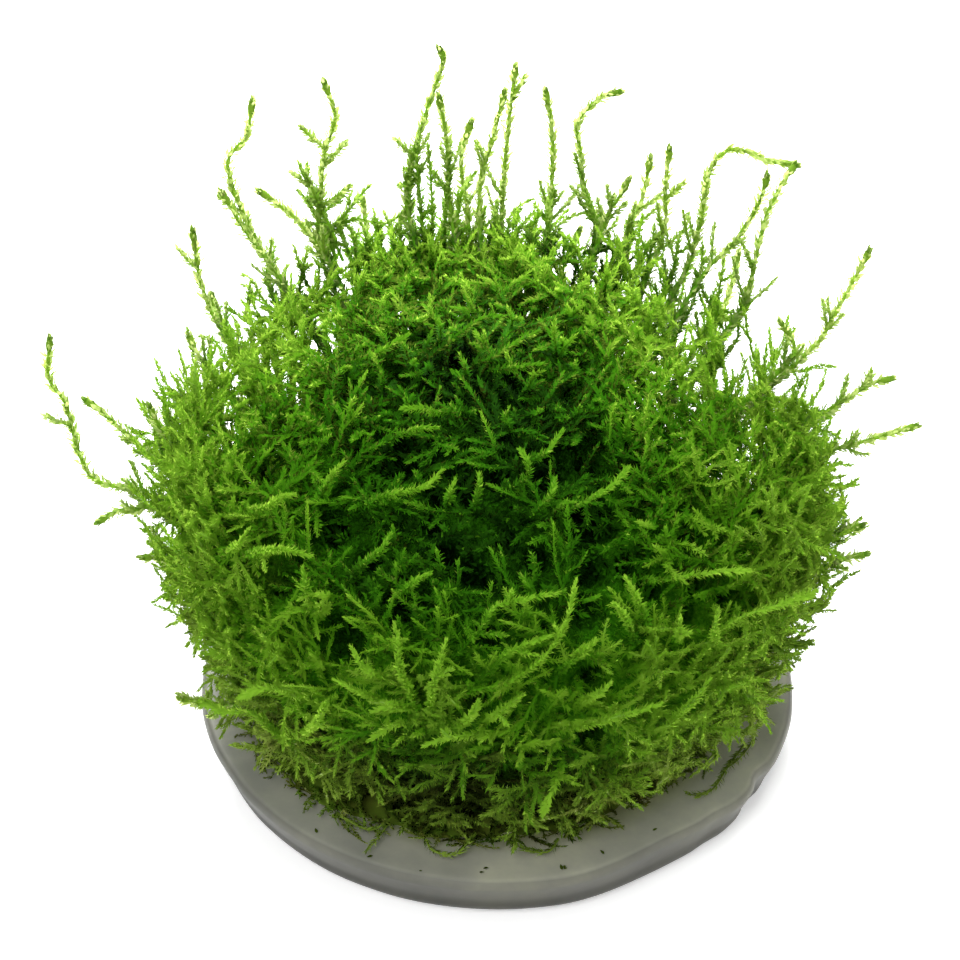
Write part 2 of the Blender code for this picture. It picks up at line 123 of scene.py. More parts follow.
# Short side twigs of the long shoots: shoot, share of its length, reach in millimetres
SIDE_TWIGS = (
    (0, 0.55, (-3.5, -0.5, 1.5)), (2, 0.62, (-2.5, 0.5, 2.5)), (5, 0.62, (-3.5, -0.5, 3.5)),
    (5, 0.52, (3.5, 0.5, 3.5)), (5, 0.38, (-4, 0.5, 2.5)), (5, 0.30, (4.5, 0, 3)),
    (7, 0.30, (-2.5, -1, 2.5)), (11, 0.78, (2, 0.5, 3)), (16, 0.45, (2.5, -0.5, 2.5)),
    (22, 0.60, (1.5, 0.5, 2.5)),
)

# The pale fronds that lie on the outside of the mass: side branches, then foot to tip in millimetres
PALE_FRONDS = (
    (5, (-9, -41.5, 38.5), (-4.5, -43.5, 43.5), (0.5, -45, 46.5), (4, -45.5, 49.5), (7, -44.5, 53),
     (8.5, -42.5, 55.5), (9.5, -39, 58.5)),
    (4, (-9, -41.5, 36), (-10.5, -43, 41), (-11.5, -44, 45.5), (-12.5, -45, 49), (-12.5, -44, 51.5),
     (-13, -42, 54)),
    (3, (-10, -41, 39), (-13, -45, 42.5), (-16, -45, 42)),
    (3, (-11, -41, 42), (-15, -42.5, 45.5), (-17, -43.5, 48), (-18.5, -42.5, 50.5)),
    (2, (-14, -40, 39), (-17, -43.5, 43.5), (-20.5, -43, 45.5)),
    (4, (-8.5, -41.5, 37), (-8.5, -44.5, 44), (-7.5, -46, 50), (-6.5, -44.5, 53.5)),
    (5, (-6.5, -41.5, 46.5), (-2.5, -42, 52.5), (-0.5, -41.5, 56), (4, -41.5, 57.5), (7.5, -40.5, 57.5)),
    (3, (-3, -42.5, 43.5), (0, -44, 49.5), (2.5, -45, 52.5), (6.5, -44, 53.5)),
    (4, (-2, -42.5, 38), (0, -46.5, 43), (3, -47, 46.5)),
    (2, (-10.5, -41, 36.5), (-13.5, -44.5, 39), (-16.5, -44.5, 36.5)),
    (3, (-0.5, -42.5, 36), (-5.5, -46.5, 39), (-9.5, -46.5, 37.5)),
    (2, (9.5, -41.5, 40), (12.5, -45, 45), (14, -45, 47)),
    (0, (8, -40.5, 29), (7.5, -43.5, 29.5), (6.5, -46, 28.5), (5.5, -44.5, 23.5)),
    (2, (-5.5, -42, 36), (-3.5, -46.5, 42.5), (-2.5, -47.5, 46)),
    (0, (-20, -1, 63), (-16.5, -2.5, 65.5), (-14, -3, 67.5), (-11.5, -1, 68)),
    (1, (-9, -1.5, 64.5), (-6, 0.5, 66), (-3.5, 1.5, 67.5), (-1.5, 2, 68.5), (1, 2, 68.5)),
    (1, (-3, -3.5, 65), (-0.5, -4, 66.5), (1, -3.5, 67.5), (3.5, -2.5, 68.5), (5.5, -1, 68.5)),
    (0, (-1, -5, 65), (2.5, -7.5, 67.5), (6, -7.5, 68)),
    (1, (-5, -12, 64), (-8, -14.5, 65.5), (-10, -15.5, 67), (-12.5, -15, 66.5)),
    (0, (-14, -16.5, 62.5), (-12, -17.5, 64.5), (-9.5, -19, 66.5), (-7.5, -19, 66.5)),
    (1, (-16.5, -25.5, 59.5), (-14.5, -26.5, 61.5), (-12, -27.5, 63), (-9, -27.5, 64), (-7, -25.5, 65)),
    (1, (1.5, -25, 61.5), (3.5, -25, 63.5), (3.5, -24.5, 65.5), (2.5, -22.5, 66)),
    (0, (4, -21, 63), (6, -22, 65), (8, -19.5, 66.5)),
    (0, (-6.5, -27, 61), (-6, -28, 63.5), (-5.5, -27, 64.5)),
    (0, (-3, -27.5, 61), (-2.5, -27.5, 64), (-2.5, -26, 65)),
    (1, (4.5, -28.5, 60.5), (6.5, -28.5, 63.5), (7, -26.5, 64.5)),
    (2, (7.5, -28.5, 60), (11, -28, 62), (14, -27, 63.5), (16.5, -23.5, 64)),
    (2, (19.5, -33.5, 53.5), (24.5, -33.5, 54.5), (28, -33.5, 55), (31.5, -31.5, 53.5)),
    (1, (18.5, -37, 49.5), (17.5, -38, 53.5), (16.5, -39, 56.5), (15.5, -38, 58)),
    (1, (17, -38, 47.5), (16, -40, 52), (15, -41, 55), (14, -40.5, 56)),
    (3, (22.5, -36, 46), (22.5, -39.5, 50), (22.5, -39.5, 52.5)),
    (5, (26, -33.5, 41.5), (28, -33.5, 45), (30.5, -33.5, 47.5), (34.5, -32, 48), (38.5, -28, 46),
     (41, -24, 44)),
    (2, (28.5, -31.5, 39.5), (27, -37, 48), (27.5, -36.5, 51.5)),
    (3, (7, -41.5, 35.5), (12, -43.5, 38.5), (16, -45, 41.5), (20.5, -43, 41.5)),
    (3, (18.5, -36.5, 27), (22.5, -39, 35.5), (24.5, -41, 40), (26.5, -39.5, 42.5)),
    (1, (7.5, -41.5, 45.5), (10.5, -44, 51), (12, -43.5, 52.5)),
    (3, (-26.5, -28.5, 21), (-29, -30.5, 25), (-32, -31, 29), (-35.5, -29.5, 28), (-38.5, -23.5, 24),
     (-41, -18.5, 20)),
    (2, (-24, -35, 35), (-26, -37, 38), (-30, -37, 38.5), (-33.5, -33, 33.5)),
    (3, (-26, -30, 24), (-23.5, -40, 35), (-21.5, -42.5, 41.5)),
    (1, (-18.5, -33.5, 54.5), (-16.5, -34.5, 57.5), (-14.5, -35, 60), (-13.5, -33, 61)),
    (2, (-34.5, -23, 48), (-31, -28, 53.5), (-27.5, -31.5, 57), (-23.5, -33.5, 57.5)),
    (1, (-36, -21.5, 47), (-33, -27.5, 54.5), (-31.5, -27.5, 57)),
    (1, (-22.5, -23, 59), (-21, -23.5, 62.5), (-19.5, -22.5, 64)),
    (1, (-23.5, -34, 50), (-24, -36, 54.5), (-24.5, -34.5, 56.5)),
    (1, (-12.5, -36.5, 54), (-10.5, -38.5, 57.5), (-8.5, -38.5, 59)),
    (1, (-34, -19, 53.5), (-30, -24, 57.5), (-27.5, -25.5, 60.5), (-25.5, -25.5, 61)),
)

# The leafy sprays along the top of the crown: stoutness, then foot to tip in millimetres
CROWN_SPRAYS = (
    (1, (-24, 34, 62.5), (-22, 34.5, 64.5), (-20.5, 35, 66.5)),
    (1, (-25, 34, 66), (-26.5, 34, 69), (-27, 34, 71)),
    (1, (-25, 34, 63), (-26.5, 34, 65.5), (-27.5, 34, 66.5)),
    (2, (-24.5, 33, 59.5), (-21.5, 33.5, 62), (-19.5, 34, 64.5), (-18.5, 34.5, 65.5), (-17.5, 35, 66.5)),
    (1, (-22, 33, 61.5), (-19, 33.5, 62), (-15.5, 34.5, 60.5), (-12.5, 35, 62.5)),
    (1, (-19.5, 32, 51), (-19.5, 32.5, 57), (-20.5, 33.5, 61), (-23, 34, 60.5)),
    (0, (-22.5, 33, 50), (-22.5, 33.5, 54.5), (-23, 34, 58)),
    (0, (-27, 32, 54), (-27.5, 32.5, 56), (-28, 33, 58)),
    (1, (-32, 31, 53.5), (-31.5, 32, 55.5), (-30.5, 33, 58)),
    (1, (-15.5, 33, 55.5), (-16.5, 34, 59.5), (-17, 35, 62.5)),
    (1, (-14, 33, 56), (-14.5, 34, 59.5), (-15.5, 35, 62)),
    (2, (-11.5, 33, 55.5), (-12, 34.5, 61), (-12, 36.5, 66.5), (-12, 38, 69.5)),
    (2, (-10, 33, 55.5), (-10.5, 35, 62.5), (-11, 37, 69), (-10.5, 39, 73.5)),
    (1, (-9, 33, 55.5), (-9, 35.5, 64), (-9.5, 38, 71.5)),
    (2, (-7.5, 33, 55.5), (-7, 34.5, 64), (-6.5, 36.5, 70), (-6.5, 38, 72.5)),
    (2, (-6, 33, 55.5), (-5.5, 34.5, 61), (-5, 35.5, 64.5), (-3, 37, 67.5)),
    (1, (-3, 33, 56.5), (-2, 34.5, 61), (-2.5, 36, 63.5)),
    (1, (-1.5, 33, 56.5), (-0.5, 34.5, 61), (0, 36, 63.5)),
    (0, (1.5, 35, 61), (3, 36, 62.5), (5, 37, 63)),
    (1, (2, 33, 58.5), (3.5, 34.5, 60.5), (5, 36, 61.5)),
    (2, (7, 33, 56), (7, 34.5, 60.5), (7, 36, 64)),
    (0, (8, 33, 61), (10, 34, 62), (12, 35, 62)),
    (0, (8, 33, 61), (9.5, 32.5, 59), (11, 32, 55.5)),
    (2, (13, 32, 55), (14, 33.5, 59.5), (13, 34.5, 62.5), (12, 36, 65.5)),
    (0, (11, 32, 56), (13, 33, 57.5), (14.5, 34, 57.5)),
    (1, (16, 32, 57), (15, 33.5, 60), (14, 35, 62.5)),
    (0, (18, 31, 56.5), (20, 32, 58.5), (19, 33, 60), (17.5, 34, 61)),
    (0, (19.5, 31, 56), (21, 31.5, 59.5), (22, 32.5, 60), (23, 33, 57)),
    (0, (24.5, 31, 56), (23.5, 32.5, 59), (22.5, 34, 61)),
    (1, (4.5, 32, 56), (4.5, 33, 58.5), (3.5, 34, 60.5)),
    (1, (-4.5, 32, 56), (-4, 33.5, 59), (-2.5, 35, 60)),
    (1, (-29.5, 30, 51), (-30, 31.5, 52.5), (-29, 33, 54.5)),
    (1, (-35, 31, 48), (-34, 32, 51), (-35.5, 33, 51.5)),
    (0, (-32.5, 31, 50.5), (-34, 32, 53), (-35.5, 33, 53)),
    (1, (-18, 33, 55.5), (-18, 34, 58.5), (-19, 35, 61)),
    (1, (-13, 33, 57.5), (-13.5, 34, 60), (-12.5, 35, 62.5)),
    (1, (17, 31, 56), (18, 32.5, 59), (18.5, 34, 62)),
    (1, (20, 30, 54), (21, 31.5, 58), (21.5, 33, 61.5)),
    (0, (22, 30, 52), (19.5, 31, 56), (19, 33, 59)),
    (1, (23.5, 29, 54), (24.5, 30.5, 58), (25, 32, 61)),
    (1, (26, 28, 50), (23.5, 29.5, 54), (22.5, 31, 58)),
    (1, (27, 28, 52), (28, 30, 57), (28, 31, 60)),
    (1, (30, 27, 51), (30.5, 28, 55), (31, 29.5, 58.5)),
    (1, (31.5, 26, 48), (29, 28, 52), (27, 30, 56)),
    (0, (33, 25, 48), (33.5, 27, 52), (34.5, 28.5, 55)),
    (1, (-31, 31, 50), (-31.5, 32, 53.5), (-31, 33, 57)),
    (1, (-27.5, 31, 50), (-27, 32, 54), (-26, 33, 58)),
    (0, (-34, 30, 47), (-34.5, 31, 50), (-34, 32, 53)),
)

# Dark gaps between the fronds at the front: place and radius in millimetres
GAPS = (
    (-13, -40, 54, 1.5), (-4, -38, 58, 1.3), (-1, -39, 57, 1.2), (-1, -43, 52, 1.6), (12, -37, 57, 1.5),
    (11, -41, 54, 1.8), (12, -44, 46, 1.3), (-3, -45, 44, 1.0), (12, -44, 36, 1.2), (-13, -22, 64, 2.0),
    (-5, -26, 63, 1.9), (-8, -28, 63, 1.1), (6, -24, 64, 1.9), (12, -31, 61, 2.4), (12, -23, 64, 1.2),
    (-6, -4, 67, 1.3), (1, -9, 67, 1.0), (3, -12, 66, 1.0), (0, -26, 64, 1.0), (-22, -30, 58, 1.6),
    (-26, -32, 55, 1.3), (-28, -33, 52, 1.3), (-20, -40, 49, 2.4), (-17, -35, 57, 1.2), (17, -35, 57, 1.4),
    (25, -30, 57, 1.4), (26, -34, 53, 1.5), (20, -37, 54, 1.3), (25, -36, 49, 1.2), (30, -33, 50, 1.0),
    (-4, -44, 27, 1.6), (-13, -7, 66, 1.2), (-29, -20, 60, 1.2), (-7, -36, 59, 1.2), (5, -36, 59, 1.3),
    (1, -34, 60, 1.2), (-9, -32, 61, 1.2),
)

# Where the day shows through the loose corners, seen from in front and above: right, up in the view
# and half width, in millimetres
LIGHT_GAPS = (
    (21.6, 54.5, 0.8), (21.2, 49.9, 1.0), (22.6, 44.1, 0.6), (27.0, 45.0, 1.1), (28.0, 48.8, 0.6),
    (27.0, 51.4, 0.4), (24.0, 52.4, 0.6), (25.7, 53.8, 0.7), (23.7, 55.9, 0.8), (25.7, 56.6, 0.8),
    (26.8, 58.2, 0.8), (20.5, 60.7, 1.0), (10.4, 62.0, 1.2), (7.7, 62.1, 0.7), (13.6, 65.6, 0.6),
    (17.0, 60.7, 0.8), (16.1, 63.5, 0.6), (22.6, 62.5, 0.8), (31.6, 59.4, 1.4), (32.6, 52.4, 1.2),
    (32.7, 49.6, 1.4), (33.3, 46.2, 1.2), (30.7, 47.4, 0.6), (32.6, 42.7, 0.8), (36.8, 49.1, 0.7),
    (36.2, 47.5, 0.6), (38.7, 46.4, 1.0), (38.0, 42.5, 0.6), (40.7, 49.4, 0.7), (44.1, 47.8, 0.7),
    (43.0, 41.9, 0.4), (34.4, 37.4, 0.6), (34.7, 34.8, 0.6), (45.1, 44.8, 1.1), (48.3, 41.3, 1.4),
    (46.5, 37.8, 1.0), (48.3, 36.2, 1.1), (-35.2, 40.3, 1.1), (-36.4, 43.4, 0.7), (-35.3, 42.8, 0.6),
    (-24.3, 51.6, 0.8), (-22.8, 52.3, 0.7), (-31.3, 58.7, 1.2), (-30.9, 56.2, 0.7), (-28.9, 60.7, 0.6),
    (-34.8, 45.0, 0.6), (-38.8, 48.0, 0.4), (-33.1, 50.3, 0.4), (-28.9, 49.4, 0.4), (-39.5, 51.3, 1.2),
    (-21.1, 60.3, 1.0), (-34.3, 53.1, 1.1), (-36.8, 45.3, 0.4), (-44.9, 41.0, 0.6), (13.2, 61.0, 0.6),
    (9.7, 60.0, 0.6),
)

# How the long shoots run on below their feet: share of the way from the axis, then how far down, and
# the lowest that they reach, in millimetres
SHOOT_ROOTS = ((0.52, 22), (0.72, 11))
ROOT_FLOOR = 16

# Where painted shade darkens the tint of the outside: middle and size in millimetres, then how much
SHADES = (
    ((5, -26, 59), 17.0, 0.11),
    ((-6, -3, 66), 12.0, 0.14),
    ((-9, 16, 65), 12.0, 0.07),
    ((-17, -34, 56), 8.0, 0.13),
    ((14, -40, 53), 8.0, 0.05),
    ((-8, -41, 54), 11.0, 0.08),
    ((-22, -38, 53), 8.0, 0.06),
    ((14, -15, 62), 8.0, 0.09),
    ((-4, -16, 64), 9.0, 0.05),
    ((0, -37, 20), 10.0, 0.12),
    ((-11, -36, 20), 8.0, 0.07),
)

# Old strands that lie over the jelly, in millimetres
OLD_STRANDS = (
    ((-21, -29.5, 9.4), (-17, -32, 9.2), (-14.5, -30.5, 9.6)),
    ((-14.5, -31, 9.5), (-16, -33.5, 9.1), (-17.5, -36, 8.9)),
    ((-9.5, -34, 9.5), (-8.5, -36, 9.2), (-5.5, -36.5, 9.2), (-3, -33, 9.6)),
    ((33.5, -15.5, 9.6), (31, -19.5, 9.1), (29, -23.5, 9.0), (27, -25, 9.0), (25, -25, 9.4)),
    ((35, -12, 9.6), (34.5, -14.5, 9.1), (32.5, -18, 9.1), (30, -21, 9.6)),
    ((8, -34, 9.6), (6.5, -36, 9.1), (3.5, -35.5, 9.1), (1, -34, 9.6)),
)

# Loose bits of old leaf on the jelly, in millimetres
LOOSE_BITS = (
    (-2.0, -38.2, 8.2), (-2.5, -38.9, 8.2), (8.7, -37.6, 8.2), (8.4, -38.5, 8.2), (8.9, -38.0, 8.2),
    (-10.0, -38.6, 8.2), (-16.5, -35.8, 8.2), (20.5, -31.0, 8.2), (-24.0, -31.5, 8.2), (14.0, -35.5, 8.2),
)


# Settings


class JellySettings(bpy.types.PropertyGroup):
    """The round pad of clear growing jelly."""

    foot_radius: FloatProperty(name="Foot radius", description="Radius of the pad at its foot",
                               default=39.2 * MM, unit="LENGTH")
    lip: FloatProperty(name="Lip", description="How far the rim stands above the middle",
                       default=0.05 * MM, unit="LENGTH")
    rim_round: FloatProperty(name="Rim rounding", description="Rounding of the upper edge",
                             default=1.1 * MM, unit="LENGTH")
    lip_width: FloatProperty(name="Lip width", description="Width of the raised rim",
                             default=1.8 * MM, unit="LENGTH")
    foot_round: FloatProperty(name="Foot rounding", description="Rounding of the lower edge",
                              default=2.8 * MM, unit="LENGTH")
    colour: FloatVectorProperty(name="Colour", description="Colour of the jelly", subtype="COLOR",
                                size=3, min=0.0, max=1.0, default=(0.50, 0.50, 0.42))
    clearness: FloatProperty(name="Clearness", description="Share of light that goes through",
                             default=0.4, min=0.0, max=1.0, subtype="FACTOR")


class MossSettings(bpy.types.PropertyGroup):
    """The dense mass of leafy shoots."""

    foot_radius: FloatProperty(name="Foot radius", description="Reach of the moss on the jelly",
                               default=36.5 * MM, unit="LENGTH")
    belly_radius: FloatProperty(name="Belly radius", description="Widest reach of the dense moss",
                                default=46.8 * MM, unit="LENGTH")
    belly_height: FloatProperty(name="Belly height", description="Height of the widest part",
                                default=40.0 * MM, unit="LENGTH")
    top: FloatProperty(name="Top", description="Height of the dense moss", default=67.5 * MM, unit="LENGTH")
    crown_power: FloatProperty(name="Crown power", description="How flat the crown is", default=2.9)
    deep_fronds: IntProperty(name="Deep fronds", description="Fronds of the dark undergrowth", default=1250)
    fronds: IntProperty(name="Fronds", description="Fronds of the outside", default=1480)
    upright_fronds: IntProperty(name="Upright fronds", description="Short fronds that stand up", default=480)
    loose_fronds: IntProperty(name="Loose fronds", description="Long fronds of the loose corners",
                              default=1050)
    old_shoots: IntProperty(name="Old shoots", description="Shoots of the tangle on the jelly", default=1050)
    leaf_length: FloatProperty(name="Leaf length", description="Length of a leaf", default=0.92 * MM,
                               unit="LENGTH")
    leaf_width: FloatProperty(name="Leaf width", description="Width of a leaf", default=0.38 * MM,
                              unit="LENGTH")
    leaf_spacing: FloatProperty(name="Leaf spacing", description="Distance between leaves of a rank",
                                default=0.33 * MM, unit="LENGTH")
    carpet_leaves: IntProperty(name="Inner leaves", description="Single leaves on the inner growth",
                               default=60000)
    seed: IntProperty(name="Seed", description="Seed of the growth", default=5)


class StageSettings(bpy.types.PropertyGroup):
    """The floor, the lights and the camera."""

    elevation: FloatProperty(name="Camera elevation", description="Angle above the horizon",
                             default=VIEW_TILT, subtype="ANGLE")
    distance: FloatProperty(name="Camera distance", description="From the middle of the view",
                            default=560.0 * MM, unit="LENGTH")
    view_width: FloatProperty(name="View width", description="Width of the view at the pad's middle",
                              default=133.24 * MM, unit="LENGTH")
    aim_across: FloatProperty(name="Aim across", description="Middle of the view, right of the pad's middle",
                              default=-2.4 * MM, unit="LENGTH")
    aim_up: FloatProperty(name="Aim up", description="Middle of the view, above the pad's middle in the view",
                          default=27.4 * MM, unit="LENGTH")
    world_light: FloatProperty(name="Room light", description="Strength of the even light", default=0.45)
    back_light: FloatProperty(name="Back light", description="Power of the light behind", default=10.0)
    front_light: FloatProperty(name="Front light", description="Power of the light in front", default=3.2)
    top_light: FloatProperty(name="Top light", description="Power of the light above", default=7.0)


# Shader tools


class Value:
    """One output socket of a material, so that sums and products add their own Math nodes."""

    def __init__(self, surface, socket):
        self.surface = surface
        self.socket = socket

    def _with(self, operation, other, swapped=False):
        pair = (other, self) if swapped else (self, other)
        node = self.surface.node("ShaderNodeMath", {"operation": operation}, {0: pair[0], 1: pair[1]})
        return Value(self.surface, node.outputs[0])

    def __add__(self, other):
        return self._with("ADD", other)

    def __radd__(self, other):
        return self._with("ADD", other, True)

    def __sub__(self, other):
        return self._with("SUBTRACT", other)

    def __rsub__(self, other):
        return self._with("SUBTRACT", other, True)

    def __mul__(self, other):
        return self._with("MULTIPLY", other)

    def __rmul__(self, other):
        return self._with("MULTIPLY", other, True)

    def __truediv__(self, other):
        return self._with("DIVIDE", other)

    def __pow__(self, other):
        return self._with("POWER", other)


class Surface:
    """A material and the one method that adds its nodes."""

    def __init__(self, name):
        self.material = bpy.data.materials.new(name)
        self.material.use_nodes = True
        self.tree = self.material.node_tree
        self.tree.nodes.clear()
        self.output = self.node("ShaderNodeOutputMaterial")

    def node(self, kind, settings=None, inputs=None):
        """A node of a kind, with its settings made first and then the values or links of its sockets."""
        node = self.tree.nodes.new(kind)
        for name, setting in (settings or {}).items():
            if name == "stops":
                self.set_stops(node.color_ramp, setting)
            else:
                setattr(node, name, setting)
        for name, value in (inputs or {}).items():
            socket = node.inputs[name]
            if isinstance(value, Value):
                self.tree.links.new(value.socket, socket)
            elif isinstance(value, bpy.types.NodeSocket):
                self.tree.links.new(value, socket)
            elif isinstance(value, tuple) and socket.type == "RGBA":
                socket.default_value = (*value, 1.0)
            else:
                socket.default_value = value
        return node

    def set_stops(self, ramp, stops):
        """Give a colour ramp its (place, colour) stops."""
        while len(ramp.elements) > 1:
            ramp.elements.remove(ramp.elements[-1])
        ramp.elements[0].position = stops[0][0]
        ramp.elements[0].color = (*stops[0][1], 1.0)
        for place, colour in stops[1:]:
            element = ramp.elements.new(place)
            element.color = (*colour, 1.0)

    def ramp(self, factor, stops):
        """The colour of a ramp at a factor."""
        return self.node("ShaderNodeValToRGB", {"stops": stops}, {0: factor}).outputs[0]

    def blend(self, factor, first, second, how="MIX"):
        """Two colours mixed by a factor."""
        settings = {"data_type": "RGBA", "blend_type": how}
        return self.node("ShaderNodeMix", settings, {0: factor, 6: first, 7: second}).outputs[2]

    def noise(self, scale, detail=3.0, roughness=0.55):
        """Smooth noise over the object's own space, as a value."""
        place = self.node("ShaderNodeTexCoord").outputs["Object"]
        node = self.node("ShaderNodeTexNoise", {}, {"Vector": place, "Scale": scale, "Detail": detail,
                                                   "Roughness": roughness})
        return Value(self, node.outputs[0])

    def finish(self, shader):
        """Send a shader to the output and give back the material."""
        self.tree.links.new(shader.outputs[0], self.output.inputs[0])
        return self.material


# Finishes


FRESH_STOPS = (
    (0.00, (0.001, 0.008, 0.0003)),
    (0.20, (0.007, 0.040, 0.001)),
    (0.40, (0.021, 0.114, 0.002)),
    (0.60, (0.068, 0.230, 0.006)),
    (0.78, (0.175, 0.385, 0.018)),
    (0.90, (0.320, 0.530, 0.060)),
    (1.00, (0.560, 0.720, 0.260)),
)
OLD_STOPS = (
    (0.00, (0.006, 0.006, 0.002)),
    (0.30, (0.042, 0.040, 0.009)),
    (0.60, (0.120, 0.128, 0.022)),
    (1.00, (0.290, 0.320, 0.090)),
)
BLACK = (0.0, 0.0, 0.0)
WHITE = (1.0, 1.0, 1.0)
LEAF_IOR = 1.36
JELLY_IOR = 1.34
# How much of the light falling on the palest leaf goes through it
MOST_THROUGH = 1.35
# Painted shade on the jelly's wall, darkest at its foot: share of the height from foot to rim, then share of
# the jelly's colour
WALL_PAINTED_SHADE = ((0.12, 0.15), (0.45, 0.20), (0.80, 0.30), (0.97, 0.50))
# How roots tinge the jelly under the moss
ROOT_TINGE = (0.80, 0.86, 0.52)


def black_to_white(*stops):
    """Colour stops that run from black to white."""
    return tuple(zip(stops, (BLACK, WHITE)))


def dimmed(colour, share):
    """A colour at a share of its strength."""
    return tuple(share * part for part in colour)


def leaf_finish(name, light_through, through_colour, roughness, mottle=0.0, power=2.0):
    """Thin damp leaves: the tint and the freshness come from the leaf's place on the tint map."""
    surface = Surface(name)
    place = surface.node("ShaderNodeUVMap", {"uv_map": TINT_MAP}).outputs[0]
    parts = surface.node("ShaderNodeSeparateXYZ", {}, {0: place})
    tint = Value(surface, parts.outputs[0])
    freshness = Value(surface, parts.outputs[1])
    extra = {}
    if mottle > 0:
        grain = surface.noise(scale=1100.0, detail=4.0, roughness=0.7)
        tint = tint + (grain - 0.5) * mottle
        bump = surface.node("ShaderNodeBump", {}, {"Strength": 1.0, "Distance": 1.2 * MM, "Height": grain})
        extra["Normal"] = bump.outputs[0]
    colour = surface.blend(freshness, surface.ramp(tint, OLD_STOPS), surface.ramp(tint, FRESH_STOPS))
    leaf = surface.node("ShaderNodeBsdfPrincipled", {}, {
        "Base Color": colour, "Roughness": roughness, "IOR": LEAF_IOR, "Specular IOR Level": 0.01, **extra})
    through = surface.node("ShaderNodeBsdfTranslucent", {}, {"Color": through_colour})
    share = freshness * tint ** power * (MOST_THROUGH * light_through)
    both = surface.node("ShaderNodeMixShader", {}, {0: share, 1: leaf.outputs[0], 2: through.outputs[0]})
    return surface.finish(both)


def jelly_colour(surface, plain):
    """The jelly's colour: mottled on top, tinged by roots under the moss, with painted shade darker down its
    wall and painted light towards its right side.
    """
    place = surface.node("ShaderNodeTexCoord").outputs["Object"]
    axes = surface.node("ShaderNodeSeparateXYZ", {}, {0: place})
    across, deep, height = (Value(surface, axes.outputs[i]) for i in range(3))
    reach = (across * across + deep * deep) ** 0.5 / PAD_RADIUS
    cloud = (surface.noise(scale=45.0) - 0.5) * 0.08
    facing = surface.node("ShaderNodeNewGeometry").outputs["Normal"]
    upward = Value(surface, surface.node("ShaderNodeSeparateXYZ", {}, {0: facing}).outputs[2])
    mottled = surface.blend(surface.noise(scale=90.0), dimmed(plain, 0.86), dimmed(plain, 1.12))
    rooted = tuple(tinge * part for tinge, part in zip(ROOT_TINGE, plain))
    top = surface.blend(surface.ramp(reach + cloud, black_to_white(0.76, 0.86)), rooted, mottled)
    wall = surface.ramp(height / PAD_TOP + cloud, tuple(
        (share, dimmed(plain, strength)) for share, strength in WALL_PAINTED_SHADE))
    # Painted shade: faces that turn away from the top take the darker wall colour
    colour = surface.blend(surface.ramp(upward, black_to_white(0.80, 0.99)), wall, top)
    # Cloudiness, and painted light that grows towards the right side
    clouds_and_painted_light = surface.ramp(surface.noise(scale=85.0, detail=5.0, roughness=0.65) + across * 1.6, (
        (0.30, (0.76, 0.77, 0.80)), (0.50, (0.97, 0.97, 0.97)), (0.70, (1.20, 1.20, 1.12))))
    return surface.blend(1.0, colour, clouds_and_painted_light, "MULTIPLY")


def jelly_finish(settings):
    """Cloudy clear jelly with a wet surface and faint unevenness."""
    surface = Surface("jelly")
    unevenness = surface.noise(scale=130.0, detail=2.0)
    bump = surface.node("ShaderNodeBump", {}, {"Strength": 0.08, "Distance": 0.4 * MM, "Height": unevenness})
    shader = surface.node("ShaderNodeBsdfPrincipled", {}, {
        "Base Color": jelly_colour(surface, settings.colour),
        "Roughness": surface.noise(scale=120.0, detail=2.0) * 0.1 + 0.34,
        "IOR": JELLY_IOR, "Specular IOR Level": 0.15,
        "Transmission Weight": settings.clearness, "Normal": bump.outputs[0]})
    return surface.finish(shader)


def floor_finish():
    """A plain white studio floor."""
    surface = Surface("studio floor")
    colour = surface.ramp(surface.noise(scale=3.0), ((0.3, dimmed(WHITE, 0.93)), (0.7, dimmed(WHITE, 0.95))))
    shader = surface.node("ShaderNodeBsdfPrincipled", {}, {
        "Base Color": colour, "Roughness": 0.9, "Specular IOR Level": 0.1,
        "Emission Color": WHITE, "Emission Strength": 0.4})
    return surface.finish(shader)


# Mesh tools


def unit(vectors):
    """Vectors of length one."""
    return vectors / np.maximum(np.linalg.norm(vectors, axis=-1, keepdims=True), 1e-12)


def add_piece(name, vertices, triangles, material, tints=None, normals=None):
    """A smooth mesh object made from arrays, riding on the root body."""
    mesh = bpy.data.meshes.new(name)
    count = len(triangles)
    mesh.vertices.add(len(vertices))
    mesh.vertices.foreach_set("co", np.ascontiguousarray(vertices, np.float32).ravel())
    mesh.loops.add(3 * count)
    mesh.loops.foreach_set("vertex_index", np.ascontiguousarray(triangles, np.int32).ravel())
    mesh.polygons.add(count)
    mesh.polygons.foreach_set("loop_start", np.arange(0, 3 * count, 3, dtype=np.int32))
    mesh.polygons.foreach_set("use_smooth", np.full(count, True))
    if tints is not None:
        layer = mesh.uv_layers.new(name=TINT_MAP)
        layer.data.foreach_set("uv", np.ascontiguousarray(tints[triangles.ravel()], np.float32).ravel())
    if normals is not None:
        layer = mesh.attributes.new("custom_normal", "FLOAT_VECTOR", "POINT")
        layer.data.foreach_set("vector", np.ascontiguousarray(normals, np.float32).ravel())
    mesh.update(calc_edges=True)
    mesh.validate()
    mesh.materials.append(material)
    piece = bpy.data.objects.new(name, mesh)
    bpy.context.scene.collection.objects.link(piece)
    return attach(piece, BODY)


